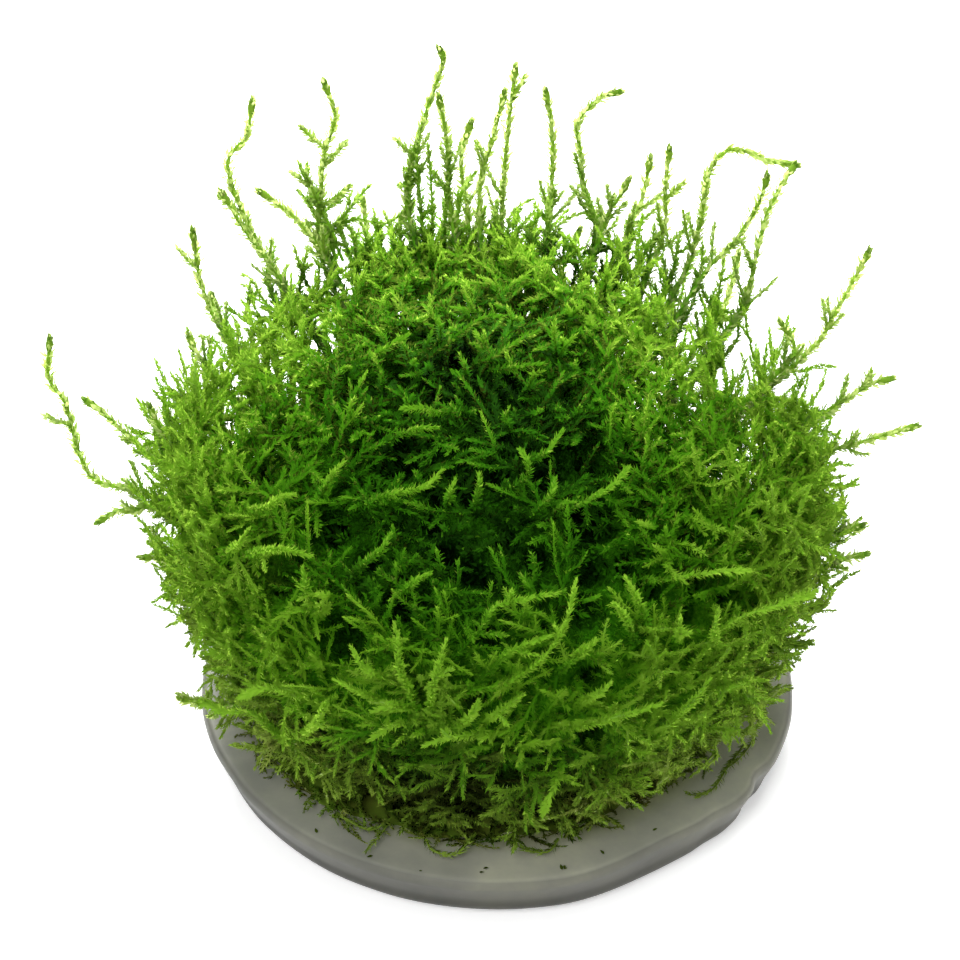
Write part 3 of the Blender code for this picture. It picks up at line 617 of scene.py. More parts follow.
def loft(rings):
    """A closed skin over rings of equal size, with a flat fan at each end, facing outwards."""
    rows, sides, _ = rings.shape
    row = np.arange(rows - 1)[:, None] * sides
    here = np.arange(sides)[None, :]
    after = (here + 1) % sides
    halves = ((row + here, row + after, row + after + sides),
              (row + here, row + after + sides, row + here + sides))
    triangles = np.concatenate([np.stack(half, axis=2).reshape(-1, 3) for half in halves])
    ends = np.stack([rings[0].mean(axis=0), rings[-1].mean(axis=0)])
    low, top = rows * sides, (rows - 1) * sides
    turn = np.arange(sides)
    following = (turn + 1) % sides
    first = np.stack([np.full(sides, low), following, turn], axis=1)
    last = np.stack([np.full(sides, low + 1), top + turn, top + following], axis=1)
    return np.concatenate([rings.reshape(-1, 3), ends]), np.concatenate([triangles, first, last])


def smooth_path(points, steps):
    """A smooth path through points given in millimetres."""
    knots = np.array(points, float) * MM
    knots = np.concatenate([[2 * knots[0] - knots[1]], knots, [2 * knots[-1] - knots[-2]]])
    places = []
    for i in range(1, len(knots) - 2):
        a, b, c, d = knots[i - 1:i + 3]
        for t in np.arange(steps) / steps:
            places.append(0.5 * (2 * b + (c - a) * t + (2 * a - 5 * b + 4 * c - d) * t ** 2
                                 + (3 * b - a - 3 * c + d) * t ** 3))
    return np.array(places + [knots[-2]])


def along(path, runs):
    """Places and directions at given runs along a path."""
    legs = np.linalg.norm(np.diff(path, axis=0), axis=1)
    total = np.concatenate([[0.0], np.cumsum(legs)])
    places = np.stack([np.interp(runs, total, path[:, i]) for i in range(3)], axis=1)
    tangent = unit(np.gradient(path, axis=0))
    ways = np.stack([np.interp(runs, total, tangent[:, i]) for i in range(3)], axis=1)
    return places, unit(ways)


def path_length(path):
    """How long a path is."""
    return float(np.linalg.norm(np.diff(path, axis=0), axis=1).sum())


def rough(place, size, shift=0.0):
    """Smooth noise at a place, from -1 to 1."""
    return noise.noise(Vector(place) / size + Vector((shift, shift, shift)))


def eased(value, low, high):
    """From 0 at low to 1 at high, easing at both ends."""
    share = np.clip((value - low) / (high - low), 0.0, 1.0)
    return share * share * (3.0 - 2.0 * share)


def between(length, low, high):
    """From 0 to 1 as a length goes between two others, which are in millimetres."""
    return eased(length, low * MM, high * MM)


def bump_at(angle, centre, width):
    """One at the centre direction, easing to zero at the width, in degrees."""
    away = np.abs((angle - centre + 180.0) % 360.0 - 180.0) / width
    return np.where(away < 1.0, 0.5 + 0.5 * np.cos(math.pi * np.minimum(away, 1.0)), 0.0)


def kept_in(tints):
    """Tints and freshnesses kept inside the tint map."""
    return np.clip(tints, 0.004, 0.996)


def flat_way(turn):
    """The level direction at an angle round the axis."""
    return np.array([math.cos(turn), math.sin(turn), 0.0])


# The shape of the dense mass


class Mound:
    """The outside of the dense mass: a dome with a narrow foot and a flattened crown."""

    GOLDEN_TURN = math.pi * (3 - math.sqrt(5))
    STEEPEST = 12.0
    LIGHT_DEPTH = 8.5 * MM
    # Painted light in the loose corners, where the day shines through the thin growth
    LOOSE_LIGHT = 0.8

    def __init__(self, settings):
        self.foot_radius = settings.foot_radius
        self.belly_radius = settings.belly_radius
        self.belly_height = settings.belly_height
        self.top = settings.top
        self.power = settings.crown_power
        self.foot = PAD_TOP + 0.6 * MM
        heights = self.foot + (self.top - self.foot) * np.sin(np.linspace(0, math.pi / 2, 400))
        reach = self.reach(heights)
        band = np.hypot(np.diff(heights), np.diff(reach)) * (reach[1:] + reach[:-1])
        self.heights = heights
        self.area = np.concatenate([[0.0], np.cumsum(band)]) / band.sum()

    def reach(self, height):
        """How far the mound reaches from its axis at a height."""
        low = np.clip((height - self.foot) / (self.belly_height - self.foot), 0, 1)
        high = np.clip((height - self.belly_height) / (self.top - self.belly_height), 0, 1)
        below = self.foot_radius + (self.belly_radius - self.foot_radius) * np.sin(low * math.pi / 2)
        above = self.belly_radius * np.sqrt(np.clip(1 - high ** self.power, 0, 1))
        return np.where(height < self.belly_height, below, above)

    def spread(self, count, draw):
        """Points spread evenly over the mound, with the way out at each."""
        share = (np.arange(count) + draw.uniform(0.0, 1.0, count)) / count
        height = np.interp(share, self.area, self.heights)
        turn = np.arange(count) * self.GOLDEN_TURN + draw.uniform(-0.08, 0.08, count)
        step = 0.05 * MM
        reach = self.reach(height)
        slope = np.minimum((self.reach(height - step) - reach) / step, self.STEEPEST)
        outward = np.stack([np.cos(turn), np.sin(turn), slope], axis=1)
        places = np.stack([reach * np.cos(turn), reach * np.sin(turn), height], axis=1)
        return places, unit(outward)

    def lump(self, place):
        """How far the outside swells or sinks near a place."""
        return 2.4 * MM * rough(place, 13 * MM, 5.0) + 0.8 * MM * rough(place, 5 * MM, 8.0)

    def outside(self, places):
        """How far places stand outside the mound; less than 0 is inside."""
        reach = np.hypot(places[..., 0], places[..., 1])
        rise = np.maximum(places[..., 2] - self.belly_height, 0.0)
        level = np.sqrt((reach / self.belly_radius) ** 2
                        + (rise / (self.top - self.belly_height)) ** self.power)
        above = np.hypot(reach, rise) * (1 - 1 / np.maximum(level, 1e-6))
        below = reach - self.reach(places[..., 2])
        return np.where(rise > 0, above, below)

    def way_out(self, places):
        """The general way out of the mass at a place."""
        return unit(places - np.array([0.0, 0.0, 0.62 * self.belly_height]))

    def light(self, places):
        """How much of the day reaches a place, from 0 deep inside to 1 at the outside."""
        from_outside = np.clip(1.0 + self.outside(places) / self.LIGHT_DEPTH, 0.0, 1.0) ** 1.25
        return np.maximum(from_outside, self.LOOSE_LIGHT * thinness(places))


# Shoots and fronds


# The ranks of leaves round a stem, in degrees
FLAT_RANKS = (0.0, 180.0, 90.0)
FINE_RANKS = (0.0, 180.0, 90.0, 270.0)
ROUND_RANKS = (0.0, 72.0, 144.0, 216.0, 288.0)

# The corners of each kind of leaf: how far along and aside, how far up by its length and by its width,
# and how far from foot to tip its freshness has come
LEAF_CORNERS = {
    "tiny": ((0.12, -0.5, 0.0, 0.0, 0.2), (0.12, 0.5, 0.0, 0.0, 0.2), (1.0, 0.0, 0.2, 0.0, 1.0)),
    "plain": ((0.0, 0.0, 0.0, 0.0, 0.0), (0.36, -0.5, 0.0, 0.2, 0.4), (0.36, 0.5, 0.0, 0.2, 0.4),
              (1.0, 0.0, 0.16, 0.0, 1.0)),
    "fine": ((0.0, 0.0, 0.0, 0.0, 0.0),
             (0.28, -0.45, 0.0, 0.22, 0.3), (0.28, 0.0, 0.0, 0.0, 0.3), (0.28, 0.45, 0.0, 0.22, 0.3),
             (0.65, -0.36, 0.07, 0.22, 0.65), (0.65, 0.0, 0.07, 0.0, 0.65), (0.65, 0.36, 0.07, 0.22, 0.65),
             (0.96, 0.0, 0.28, 0.0, 1.0)),
}
LEAF_FACES = {
    "tiny": ((0, 2, 1),),
    "plain": ((0, 1, 3), (0, 3, 2)),
    "fine": ((0, 1, 2), (0, 2, 3), (1, 4, 5), (1, 5, 2), (2, 5, 6), (2, 6, 3), (4, 7, 5), (5, 7, 6)),
}


class Growth:
    """Leaves and stems gathered as arrays, to become the faces of one piece."""

    MOST_FACES = 190000
    # Painted light and shade: this much of a leaf's or stem's tint follows the light that reaches it, so
    # growth deep in the mass is painted darker
    LIGHT_TINT = 0.5
    # Painted glints: a share of leaves get a paler, fresher tint and a smaller size in place of real
    # highlights
    GLINT_SHARE = 0.05
    GLINT_TINT = 0.38
    GLINT_FRESHNESS = 0.3
    GLINT_SHRINK = 0.3
    TIP_LENGTH = 2.1 * MM
    TIP_SHARE = 0.35
    TIP_CLOSING = 0.6
    TIP_SHRINK = 0.3

    def __init__(self, mound, softness=0.65, gaps=None, least_light=0.0, palest=0.8):
        self.mound = mound
        self.palest = palest
        self.softness = softness
        self.gaps = gaps
        self.least_light = least_light
        self.vertices = []
        self.triangles = []
        self.tints = []
        self.normals = []
        self.count = 0
        self.faces = 0

    def light(self, places):
        """How much light reaches places of this growth, for the painted light and shade in their tints."""
        return np.maximum(self.mound.light(places), self.least_light)

    def add(self, vertices, triangles, tints, facing):
        """Take in some faces, shaded partly as they face and partly as the mass they lie in."""
        self.triangles.append(triangles + self.count)
        self.vertices.append(vertices)
        self.tints.append(tints)
        self.normals.append(unit(facing * (1 - self.softness) + self.mound.way_out(vertices) * self.softness))
        self.count += len(vertices)
        self.faces += len(triangles)

    def add_leaves(self, foot, way, face, length, width, tint, fresh, kind):
        """Small pointed leaves: a foot, a direction, an upper face, a size and a colour each."""
        side = unit(np.cross(face, way))
        upper = unit(np.cross(way, side))
        long, wide = length[:, None], width[:, None]
        corners = [foot + way * long * ahead + side * wide * aside + upper * (long * lift + wide * fold)
                   for ahead, aside, lift, fold, _ in LEAF_CORNERS[kind]]
        _, sides, _, _, steps = np.array(LEAF_CORNERS[kind]).T
        per = len(steps)
        across = tint[:, None] + 0.006 * np.sign(sides)
        level = fresh[:, None] + 0.05 * (steps - 0.5)
        pattern = np.array(LEAF_FACES[kind])
        starts = per * np.arange(len(foot))[:, None, None]
        inwards = np.sum(upper * self.mound.way_out(foot), axis=1) < 0
        faces = np.where(inwards[:, None, None], pattern[None, :, ::-1], pattern[None]) + starts
        facing = np.repeat(upper * np.where(inwards, -1.0, 1.0)[:, None], per, axis=0)
        tints = kept_in(np.stack([across, level], axis=2))
        vertices = np.stack(corners, axis=1).reshape(-1, 3)
        self.add(vertices, faces.reshape(-1, 3), tints.reshape(-1, 2), facing)

    def add_stem(self, path, radii, tone, fresh, sides=3):
        """A stem along a path, with its radius at each point."""
        tangent = unit(np.gradient(path, axis=0))
        hint = np.where(np.abs(tangent[:, 2:3]) > 0.9, np.array([[1.0, 0.0, 0.0]]), UP[None])
        first = unit(np.cross(tangent, hint))
        second = np.cross(tangent, first)
        turn = 2 * math.pi * np.arange(sides) / sides
        radius = radii[:, None, None]
        ring = first[:, None] * np.cos(turn)[None, :, None] + second[:, None] * np.sin(turn)[None, :, None]
        vertices, triangles = loft(path[:, None] + ring * radius)
        shares = np.concatenate([np.repeat(np.linspace(0, 1, len(path)), sides), [0.0, 1.0]])
        spread = np.concatenate([np.tile(np.linspace(-0.008, 0.008, sides), len(path)), [0.004, -0.004]])
        # Painted light and shade from the light that reaches each point of the stem
        tint = tone + self.LIGHT_TINT * self.light(vertices) + spread
        tints = kept_in(np.stack([tint, fresh + 0.03 * (shares - 0.5)], axis=1))
        facing = np.concatenate([ring.reshape(-1, 3), -tangent[:1], tangent[-1:]])
        self.add(vertices, triangles, tints, facing)

    def add_shoot(self, path, upper, draw, leaf, tone, fresh, ranks=FLAT_RANKS, kind="tiny", start=0.0,
                  thick=0.2 * MM, sides=3, spread=90.0, thinning=0.0, grade=0.1, least=30.0, taper=0.55):
        """A leafy shoot: ranks of leaves round a stem, closing to a bud at the tip."""
        length, width, spacing = leaf
        total = path_length(path)
        count = int((1.0 - start) * total / spacing)
        if count < 2:
            return
        base = start * total + spacing * np.arange(count)
        runs = np.concatenate([base + spacing * k / len(ranks) for k in range(len(ranks))])
        runs = np.clip(runs + spacing * draw.uniform(-0.3, 0.3, len(runs)), 0.0, total * 0.995)
        places, ways = along(path, runs)
        side = unit(np.cross(ways, upper))
        face = unit(np.cross(side, ways))
        share = runs / total
        tip = min(self.TIP_LENGTH, self.TIP_SHARE * total)
        closing = np.clip((runs - total + tip) / tip, 0, 1)
        open_share = draw.random(len(runs))
        opening = np.radians((least + (spread - least) * open_share) * (1 - self.TIP_CLOSING * closing))
        turn = np.radians(np.repeat(ranks, count) + draw.uniform(-30, 30, len(runs)))
        outward = side * np.cos(turn)[:, None] + face * np.sin(turn)[:, None]
        way = unit(ways * np.cos(opening)[:, None] + outward * np.sin(opening)[:, None])
        cupped = unit(ways - way * np.sum(way * ways, axis=1, keepdims=True)
                      + 0.25 * draw.uniform(-1, 1, (len(runs), 3)))
        sizes = length * (0.74 + 0.26 * eased(share, 0.0, 0.3)) * (1 - self.TIP_SHRINK * closing)
        sizes = sizes * (1 - thinning * share) * draw.uniform(0.85, 1.15, len(runs))
        widths = sizes * width / length * (1.4 - 0.75 * open_share)
        # Painted light and shade from the light that reaches each leaf, with a random spread and a grade
        # along the shoot
        tints = (tone + self.LIGHT_TINT * self.light(places) + 0.06 * draw.uniform(-1, 1, len(runs))
                 + grade * (share - 0.5))
        # Painted glints on a few leaves
        glint = draw.random(len(runs)) < self.GLINT_SHARE
        tints = np.minimum(tints, self.palest) + self.GLINT_TINT * glint
        sizes = sizes * (1 - self.GLINT_SHRINK * glint)
        ages = fresh + 0.08 * draw.uniform(-1, 1, len(runs)) + self.GLINT_FRESHNESS * glint * fresh
        at_stem = places + outward * thick * (1 - taper * share)[:, None] * 0.7
        self.add_leaves(at_stem, way, cupped, sizes, widths, tints, np.clip(ages, 0, 1), kind)
        self.add_stem(path, np.linspace(thick, (1 - taper) * thick, len(path)), tone, fresh * 0.96, sides)

    def add_frond(self, path, upper, draw, leaf, tone, fresh, branches, branch_reach, **looks):
        """A shoot with short side branches in its own plane, longest near its foot."""
        self.add_shoot(path, upper, draw, leaf, tone, fresh, start=0.08, **looks)
        if branches == 0:
            return
        total = path_length(path)
        shares = np.linspace(0.22, 0.74, branches) + draw.uniform(-0.05, 0.05, branches)
        places, ways = along(path, shares * total)
        for i in range(branches):
            side = unit(np.cross(ways[i], upper)) * (1 if i % 2 else -1)
            reach = branch_reach * (1.15 - 0.75 * shares[i]) * draw.uniform(0.6, 1.25)
            way = unit(ways[i] * 0.62 + side * 0.74 + 0.4 * draw.uniform(-1, 1, 3))
            twig = bent_path(places[i], way, reach, (ways[i] * 0.3 + 0.3 * draw.uniform(-1, 1, 3)) * reach, 2)
            if self.gaps is not None and self.gaps.lit(twig).any():
                continue
            small = (leaf[0] * 0.85, leaf[1] * 0.9, leaf[2])
            self.add_shoot(twig, upper, draw, small, tone + 0.03, fresh, start=0.1, **looks)

    def piece(self, name, material):
        """The piece made of everything gathered."""
        return add_piece(name, np.concatenate(self.vertices), np.concatenate(self.triangles), material,
                         np.concatenate(self.tints), np.concatenate(self.normals))


class Growths:
    """Growths filled one after another, each small enough to be one piece."""

    def __init__(self, mound, softness, gaps):
        self.looks = (mound, softness, gaps)
        self.parts = [Growth(*self.looks)]

    def current(self):
        """The growth that still has room."""
        if self.parts[-1].faces > Growth.MOST_FACES:
            self.parts.append(Growth(*self.looks))
        return self.parts[-1]


def bent_path(foot, way, reach, bend, steps):
    """A shoot that starts one way and bends as it grows."""
    share = np.linspace(0.0, 1.0, steps + 1)[:, None]
    return foot + way * reach * share + bend * share ** 2


def curled(path, draw, amount):
    """A path with a soft random S-bend across it."""
    way = unit(path[-1] - path[0])
    across = unit(np.cross(way, draw.normal(size=3)))
    other = np.cross(way, across)
    share = np.linspace(0.0, 1.0, len(path))[:, None]
    turns = draw.uniform(0.7, 1.7)
    shift = draw.uniform(0, 2 * math.pi)
    sway = np.sin(2 * math.pi * turns * share + shift) - math.sin(shift)
    lean = np.cos(2 * math.pi * turns * share + shift) - math.cos(shift)
    return path + (across * sway + other * lean * 0.6) * amount * share


class Gaps:
    """The dark gaps between the fronds: open towards the front and up at the front, outwards elsewhere."""

    FRONT_WAY = unit(np.array([0.0, -0.78, 0.62]))
    GUESSED = 90
    SHOOT_WIDTH = 0.7 * MM
    DEPTH = 9 * MM
    RISE = 6 * MM

    def __init__(self, mound, draw):
        centres = [np.array(gap[:3]) * MM for gap in GAPS]
        ways = [self.FRONT_WAY for gap in GAPS]
        radii = [gap[3] * MM for gap in GAPS]
        for place, out in zip(*mound.spread(self.GUESSED, draw)):
            if place[1] > -8 * MM or place[2] < 24 * MM:
                centres.append(place)
                ways.append(out)
                radii.append(draw.uniform(0.9, 1.9) * MM)
        self.centres = np.array(centres)
        self.ways = np.array(ways)
        self.radii = np.array(radii)
        self.light = np.array(LIGHT_GAPS) * MM
        self.view_up = np.array([0.0, math.sin(VIEW_TILT), math.cos(VIEW_TILT)])

    def free_share(self, path):
        """The share of a path before it first enters a gap."""
        away = path[:, None] - self.centres[None]
        run = np.sum(away * self.ways[None], axis=2)
        aside = np.linalg.norm(away - run[..., None] * self.ways[None], axis=2)
        inside = (aside < self.radii[None] + self.SHOOT_WIDTH) & (run > -self.DEPTH) & (run < self.RISE)
        return self.first_hit(inside.any(axis=1) | self.lit(path))

    def lit(self, path):
        """Which points of a path stand in the way of the light that shows through."""
        across = path[:, None, 0] - self.light[None, :, 0]
        rise = (path @ self.view_up)[:, None] - self.light[None, :, 1]
        return (np.hypot(across, rise) < self.light[None, :, 2] + 0.1 * MM).any(axis=1)

    def light_share(self, path):
        """The share of a path before it first stands in the light that shows through."""
        return self.first_hit(self.lit(path))

    @staticmethod
    def first_hit(inside):
        """The share of a row of points before the first one that is inside."""
        hits = np.nonzero(inside)[0]
        return 1.0 if len(hits) == 0 else max(hits[0] - 1, 0) / (len(inside) - 1)


def leaned_in(path, out, distance, power=1.0):
    """A path leaned inwards, so that its tip comes in by a distance."""
    return path - out * distance * np.linspace(0, 1, len(path))[:, None] ** power


def shortened(path, share):
    """The first part of a path, with as many points as before."""
    runs = np.linspace(0.0, share * path_length(path), len(path))
    return along(path, runs)[0]


def thinness(place):
    """How loose the growth is: open at the back corners of the crown, where the light shows through."""
    across, deep, height = place[..., 0], place[..., 1], place[..., 2]
    right = between(across, 11, 23)
    left = 0.7 * between(-across, 18, 30)
    back = 0.35 * between(deep, 22, 34)
    far = between(deep, -8, 12) * between(height, 30, 46)
    return far * np.maximum(np.maximum(right, left), back)


def shade_at(place):
    """How much painted shade darkens the tint at a place of the outside."""
    return sum(depth * math.exp(-float(np.sum(((place - np.array(middle) * MM) / (size * MM)) ** 2)))
               for middle, size, depth in SHADES)


def tone_with_painted_light(place, mound):
    """The fronds' tone by place, with painted light and shade: painted light makes them lighter low in front,
    at the rims, the back, the flanks and the loose corners; painted shade makes them darker at the foot and
    in the open heart of the front; a random patchiness is added.
    """
    across, deep, height = place
    # Painted light: lighter towards the rims, the back, the belly, both flanks and the loose corners
    out = 0.11 * math.hypot(across, deep) / mound.belly_radius
    back = 0.1 * between(deep, 0, 25)
    belly = 0.075 * between(-height, -52, -44)
    right = 0.10 * between(across, 5, 26) + 0.055 * between(-across, 18, 34)
    loose = 0.19 * thinness(place)
    sides = 0.19 * between(across, 2, 18) + 0.09 * between(-across, 14, 30)
    # Painted shade low down under the belly, less at the sides, and at the listed shade spots
    low = between(-height, -36, -22) * (0.24 - sides)
    # A random patchiness of the moss's own tone
    patchy = 0.06 * rough(place, 14 * MM, 3.0)
    return 0.122 + out + back + belly + right + loose - low - shade_at(place) + patchy


def zone_age(place, mound):
    """Freshness: brown low down and in a few patches, green elsewhere."""
    across, height = place[0], place[2]
    low = eased(height + 7 * MM * rough(place, 7 * MM, 9.0), mound.foot + 3 * MM, mound.foot + 24 * MM)
    patch = eased(rough(place, 13 * MM, 21.0), 0.22, 0.5) * between(-height, -58, -44)
    right = between(across, 30, 41) * between(-height, -46, -24)
    return float(np.clip(0.40 + 0.58 * low - 0.18 * patch - 0.20 * right, 0.1, 0.98))


def grow_undergrowth(settings, mound, gaps, growths, leaf, draw):
    """The coarse fronds that fill the dark undergrowth."""
    for place, out in zip(*mound.spread(settings.deep_fronds, draw)):
        if draw.random() < 1.3 * thinness(place):
            continue
        way = unit(out * 0.55 + UP * 0.2 + 0.55 * draw.normal(size=3))
        foot = place - out * draw.uniform(9, 12) * MM
        foot[2] = max(foot[2], mound.foot)
        reach = draw.uniform(8, 13) * MM
        path = bent_path(foot, way, reach, UP * 0.2 * reach, 4)
        over = float(mound.outside(path[-1])) + draw.uniform(2.0, 5.0) * MM - mound.lump(place)
        path = leaned_in(path, out, max(over, 0.0))
        share = gaps.free_share(path)
        if share < 0.4:
            continue
        path = shortened(path, share)
        path[:, 2] = np.maximum(path[:, 2], mound.foot)
        upper = unit(out + 0.6 * draw.uniform(-1, 1, 3))
        tone = tone_with_painted_light(place, mound) + draw.uniform(0.0, 0.07)
        growths.current().add_frond(path, upper, draw, leaf, tone, zone_age(place, mound), 2, 5.0 * MM)


def grow_outside(settings, mound, gaps, growths, leaf, draw):
    """The fronds that skim over the outside of the mass."""
    for place, out in zip(*mound.spread(settings.fronds, draw)):
        if draw.random() < 0.7 * thinness(place):
            continue
        aside = unit(np.cross(out, UP + 0.01))
        rise = np.cross(aside, out)
        turn = draw.uniform(0, 2 * math.pi)
        skim = aside * math.cos(turn) + rise * math.sin(turn)
        way = unit(skim * draw.uniform(0.5, 1.0) + out * 0.45 + UP * 0.35)
        reach = draw.uniform(9, 20) * MM
        foot = place - out * draw.uniform(6, 9) * MM - skim * reach * 0.45
        bend = (UP * draw.uniform(0.1, 0.35) + skim * draw.uniform(-0.1, 0.1)) * reach
        path = curled(bent_path(foot, way, reach, bend, 6), draw, draw.uniform(0.4, 1.8) * MM)
        proudest = 0.3 if place[1] < 5 * MM else 1.8
        over = float(mound.outside(path[-1])) - draw.uniform(-2.5, proudest) * MM - mound.lump(place)
        path = leaned_in(path, out, over, 1.5)
        path[:, 2] = np.maximum(path[:, 2], mound.foot + 0.8 * MM)
        share = gaps.free_share(path)
        if share < 0.45:
            continue
        upper = unit(out + 0.5 * draw.uniform(-1, 1, 3))
        tone = tone_with_painted_light(place, mound) + 0.10 + draw.uniform(-0.06, 0.10)
        growths.current().add_frond(shortened(path, share), upper, draw, leaf, tone, zone_age(place, mound),
                                    int(draw.integers(2, 5)), 5.5 * MM)


def grow_upright(settings, mound, gaps, growths, leaf, draw):
    """The short fronds that stand up over the crown, the sides and the back."""
    for place, out in zip(*mound.spread(settings.upright_fronds, draw)):
        if place[1] < -14 * MM or place[2] < 26 * MM or draw.random() < 0.6 * thinness(place):
            continue
        way = unit(out * 0.55 + UP * 0.75 + 0.3 * draw.normal(size=3))
        reach = draw.uniform(8, 14) * MM
        foot = place - out * draw.uniform(5, 8) * MM
        path = bent_path(foot, way, reach, UP * draw.uniform(-0.05, 0.25) * reach, 6)
        path = curled(path, draw, draw.uniform(0.3, 1.3) * MM)
        over = float(mound.outside(path[-1])) - draw.uniform(0.5, 4.0) * MM - mound.lump(place)
        path = leaned_in(path, out, over)
        share = gaps.light_share(path)
        if share < 0.3:
            continue
        upper = unit(out + 0.8 * draw.uniform(-1, 1, 3))
        tone = tone_with_painted_light(place, mound) + 0.12 + draw.uniform(-0.05, 0.08)
        growths.current().add_frond(shortened(path, share), upper, draw, leaf, tone, zone_age(place, mound),
                                    int(draw.integers(0, 3)), 3.5 * MM, ranks=FINE_RANKS)


def grow_loose(settings, mound, gaps, growths, leaf, draw):
    """The long fronds of the loose back corners, with the day between them."""
    for place, out in zip(*mound.spread(settings.loose_fronds, draw)):
        if draw.random() > 0.95 * thinness(place):
            continue
        depth = draw.uniform(10, 18) * MM
        way = unit(UP + out * draw.uniform(0.1, 0.5) + 0.22 * draw.normal(size=3))
        foot = place - UP * depth * 0.8 - out * depth * 0.4
        reach = depth * draw.uniform(0.8, 1.25)
        path = curled(bent_path(foot, way, reach, UP * 0.1 * reach, 6), draw, draw.uniform(0.4, 1.6) * MM)
        over = float(mound.outside(path[-1])) - draw.uniform(-3.0, 3.0) * MM
        path = leaned_in(path, out, max(over, 0.0))
        share = gaps.light_share(path)
        if share < 0.2:
            continue
        upper = unit(out + 0.8 * draw.uniform(-1, 1, 3))
        tone = tone_with_painted_light(place, mound) + 0.16 + draw.uniform(-0.05, 0.08)
        growths.current().add_frond(shortened(path, share), upper, draw, leaf, tone, zone_age(place, mound),
                                    int(draw.integers(2, 6)), 5.0 * MM, ranks=FINE_RANKS)


def grow_mass(settings, mound):
    """Every frond of the dense mass, as a list of growths of like size."""
    draw = np.random.default_rng(settings.seed)
    leaf = (settings.leaf_length, settings.leaf_width, settings.leaf_spacing)
    coarse = (leaf[0] * 1.35, leaf[1] * 1.5, leaf[2] * 1.5)
    gaps = Gaps(mound, draw)
    growths = Growths(mound, 0.78, gaps)
    grow_undergrowth(settings, mound, gaps, growths, coarse, draw)
    for grow in (grow_outside, grow_upright, grow_loose):
        grow(settings, mound, gaps, growths, leaf, draw)
    return growths.parts


def grow_pale(settings, mound):
    """The pale fronds that lie on the outside at the front, with the finest leaves."""
    draw = np.random.default_rng(settings.seed + 1)
    leaf = (settings.leaf_length * 1.02, settings.leaf_width * 1.05, settings.leaf_spacing * 1.05)
    growth = Growth(mound, 0.5)
    middle = np.array([0.0, 0.0, mound.belly_height])
    for branches, *points in PALE_FRONDS:
        path = smooth_path(points, 4)
        out = unit(path[len(path) // 2] - middle)
        foot = path[0] - unit(path[1] - path[0]) * 2.5 * MM - out * 4 * MM
        path = np.concatenate([[foot], path])
        upper = unit(out + 0.15 * draw.uniform(-1, 1, 3))
        # Painted light on the low fronds at the front
        low = 0.08 * float(eased(-points[0][2], -50, -38))
        tone = tone_with_painted_light(path[len(path) // 2], mound) + 0.02 + draw.uniform(-0.05, 0.06) + low
        growth.add_frond(path, upper, draw, leaf, tone, 0.95, (branches + 1) // 2, 3.2 * MM, kind="plain",
                         thick=0.22 * MM, spread=80.0, ranks=ROUND_RANKS)
    return growth


def add_bushy_twigs(growth, path, seen, upper, draw, tone):
    """Two to four short twigs round the lower part of a long shoot."""
    leaf = (0.95 * MM, 0.44 * MM, 0.42 * MM)
    total = path_length(path)
    for _ in range(int(draw.integers(2, 5))):
        share = draw.uniform(-0.1, 0.4)
        start, way = (part[0] for part in along(path, np.array([total - (1 - share) * seen])))
        side = unit(np.cross(way, draw.normal(size=3)))
        reach = draw.uniform(2.5, 6.0) * (0.95 - share) * MM
        twig = bent_path(start, unit(way * 0.65 + side * 0.75), reach, (UP * 0.25 + way * 0.2) * reach, 4)
        growth.add_shoot(twig, upper, draw, leaf, tone - 0.02, 0.9, thick=0.26 * MM,
                         ranks=FINE_RANKS, kind="plain", spread=80.0, taper=0.3)


def grow_long_shoots(settings, mound):
    """The long thin shoots with their short side twigs."""
    draw = np.random.default_rng(settings.seed + 2)
    leaf = (1.35 * MM, 0.56 * MM, 0.68 * MM)
    twig_leaf = (1.1 * MM, 0.6 * MM, 0.5 * MM)
    # A least light of 0.6 keeps painted shade off the long shoots deep in the mass, as painted light for
    # their lit-through stems
    growth = Growth(mound, 0.15, least_light=0.6, palest=0.86)
    for index, points in enumerate(LONG_SHOOTS):
        foot = points[0]
        roots = [(foot[0] * share, foot[1] * share, max(foot[2] - drop, ROOT_FLOOR))
                 for share, drop in SHOOT_ROOTS]
        path = smooth_path((*roots, *points), 7)
        seen = path_length(smooth_path(points, 7))
        upper = unit(np.array([0.3, -1.0, 0.4]) + 0.5 * draw.uniform(-1, 1, 3))
        tone = 0.23 + draw.uniform(-0.05, 0.05)
        growth.add_shoot(path, upper, draw, leaf, tone, 0.97, start=0.1, thick=0.34 * MM, taper=0.3,
                         ranks=ROUND_RANKS, kind="fine", sides=5, spread=90.0, grade=0.38, least=16.0)
        add_bud(growth, path, draw, tone)
        add_bushy_twigs(growth, path, seen, upper, draw, tone)
        for shoot, share, reach in SIDE_TWIGS:
            if shoot != index:
                continue
            start = along(path, np.array([path_length(path) - (1 - share) * seen]))[0][0]
            twig = bent_path(start, np.array(reach) * MM, 1.0, UP * 0.6 * MM, 4)
            growth.add_shoot(twig, upper, draw, twig_leaf, tone + 0.04, 0.93, taper=0.3,
                             thick=0.3 * MM, ranks=FINE_RANKS, kind="fine", sides=4, spread=80.0)
    return growth


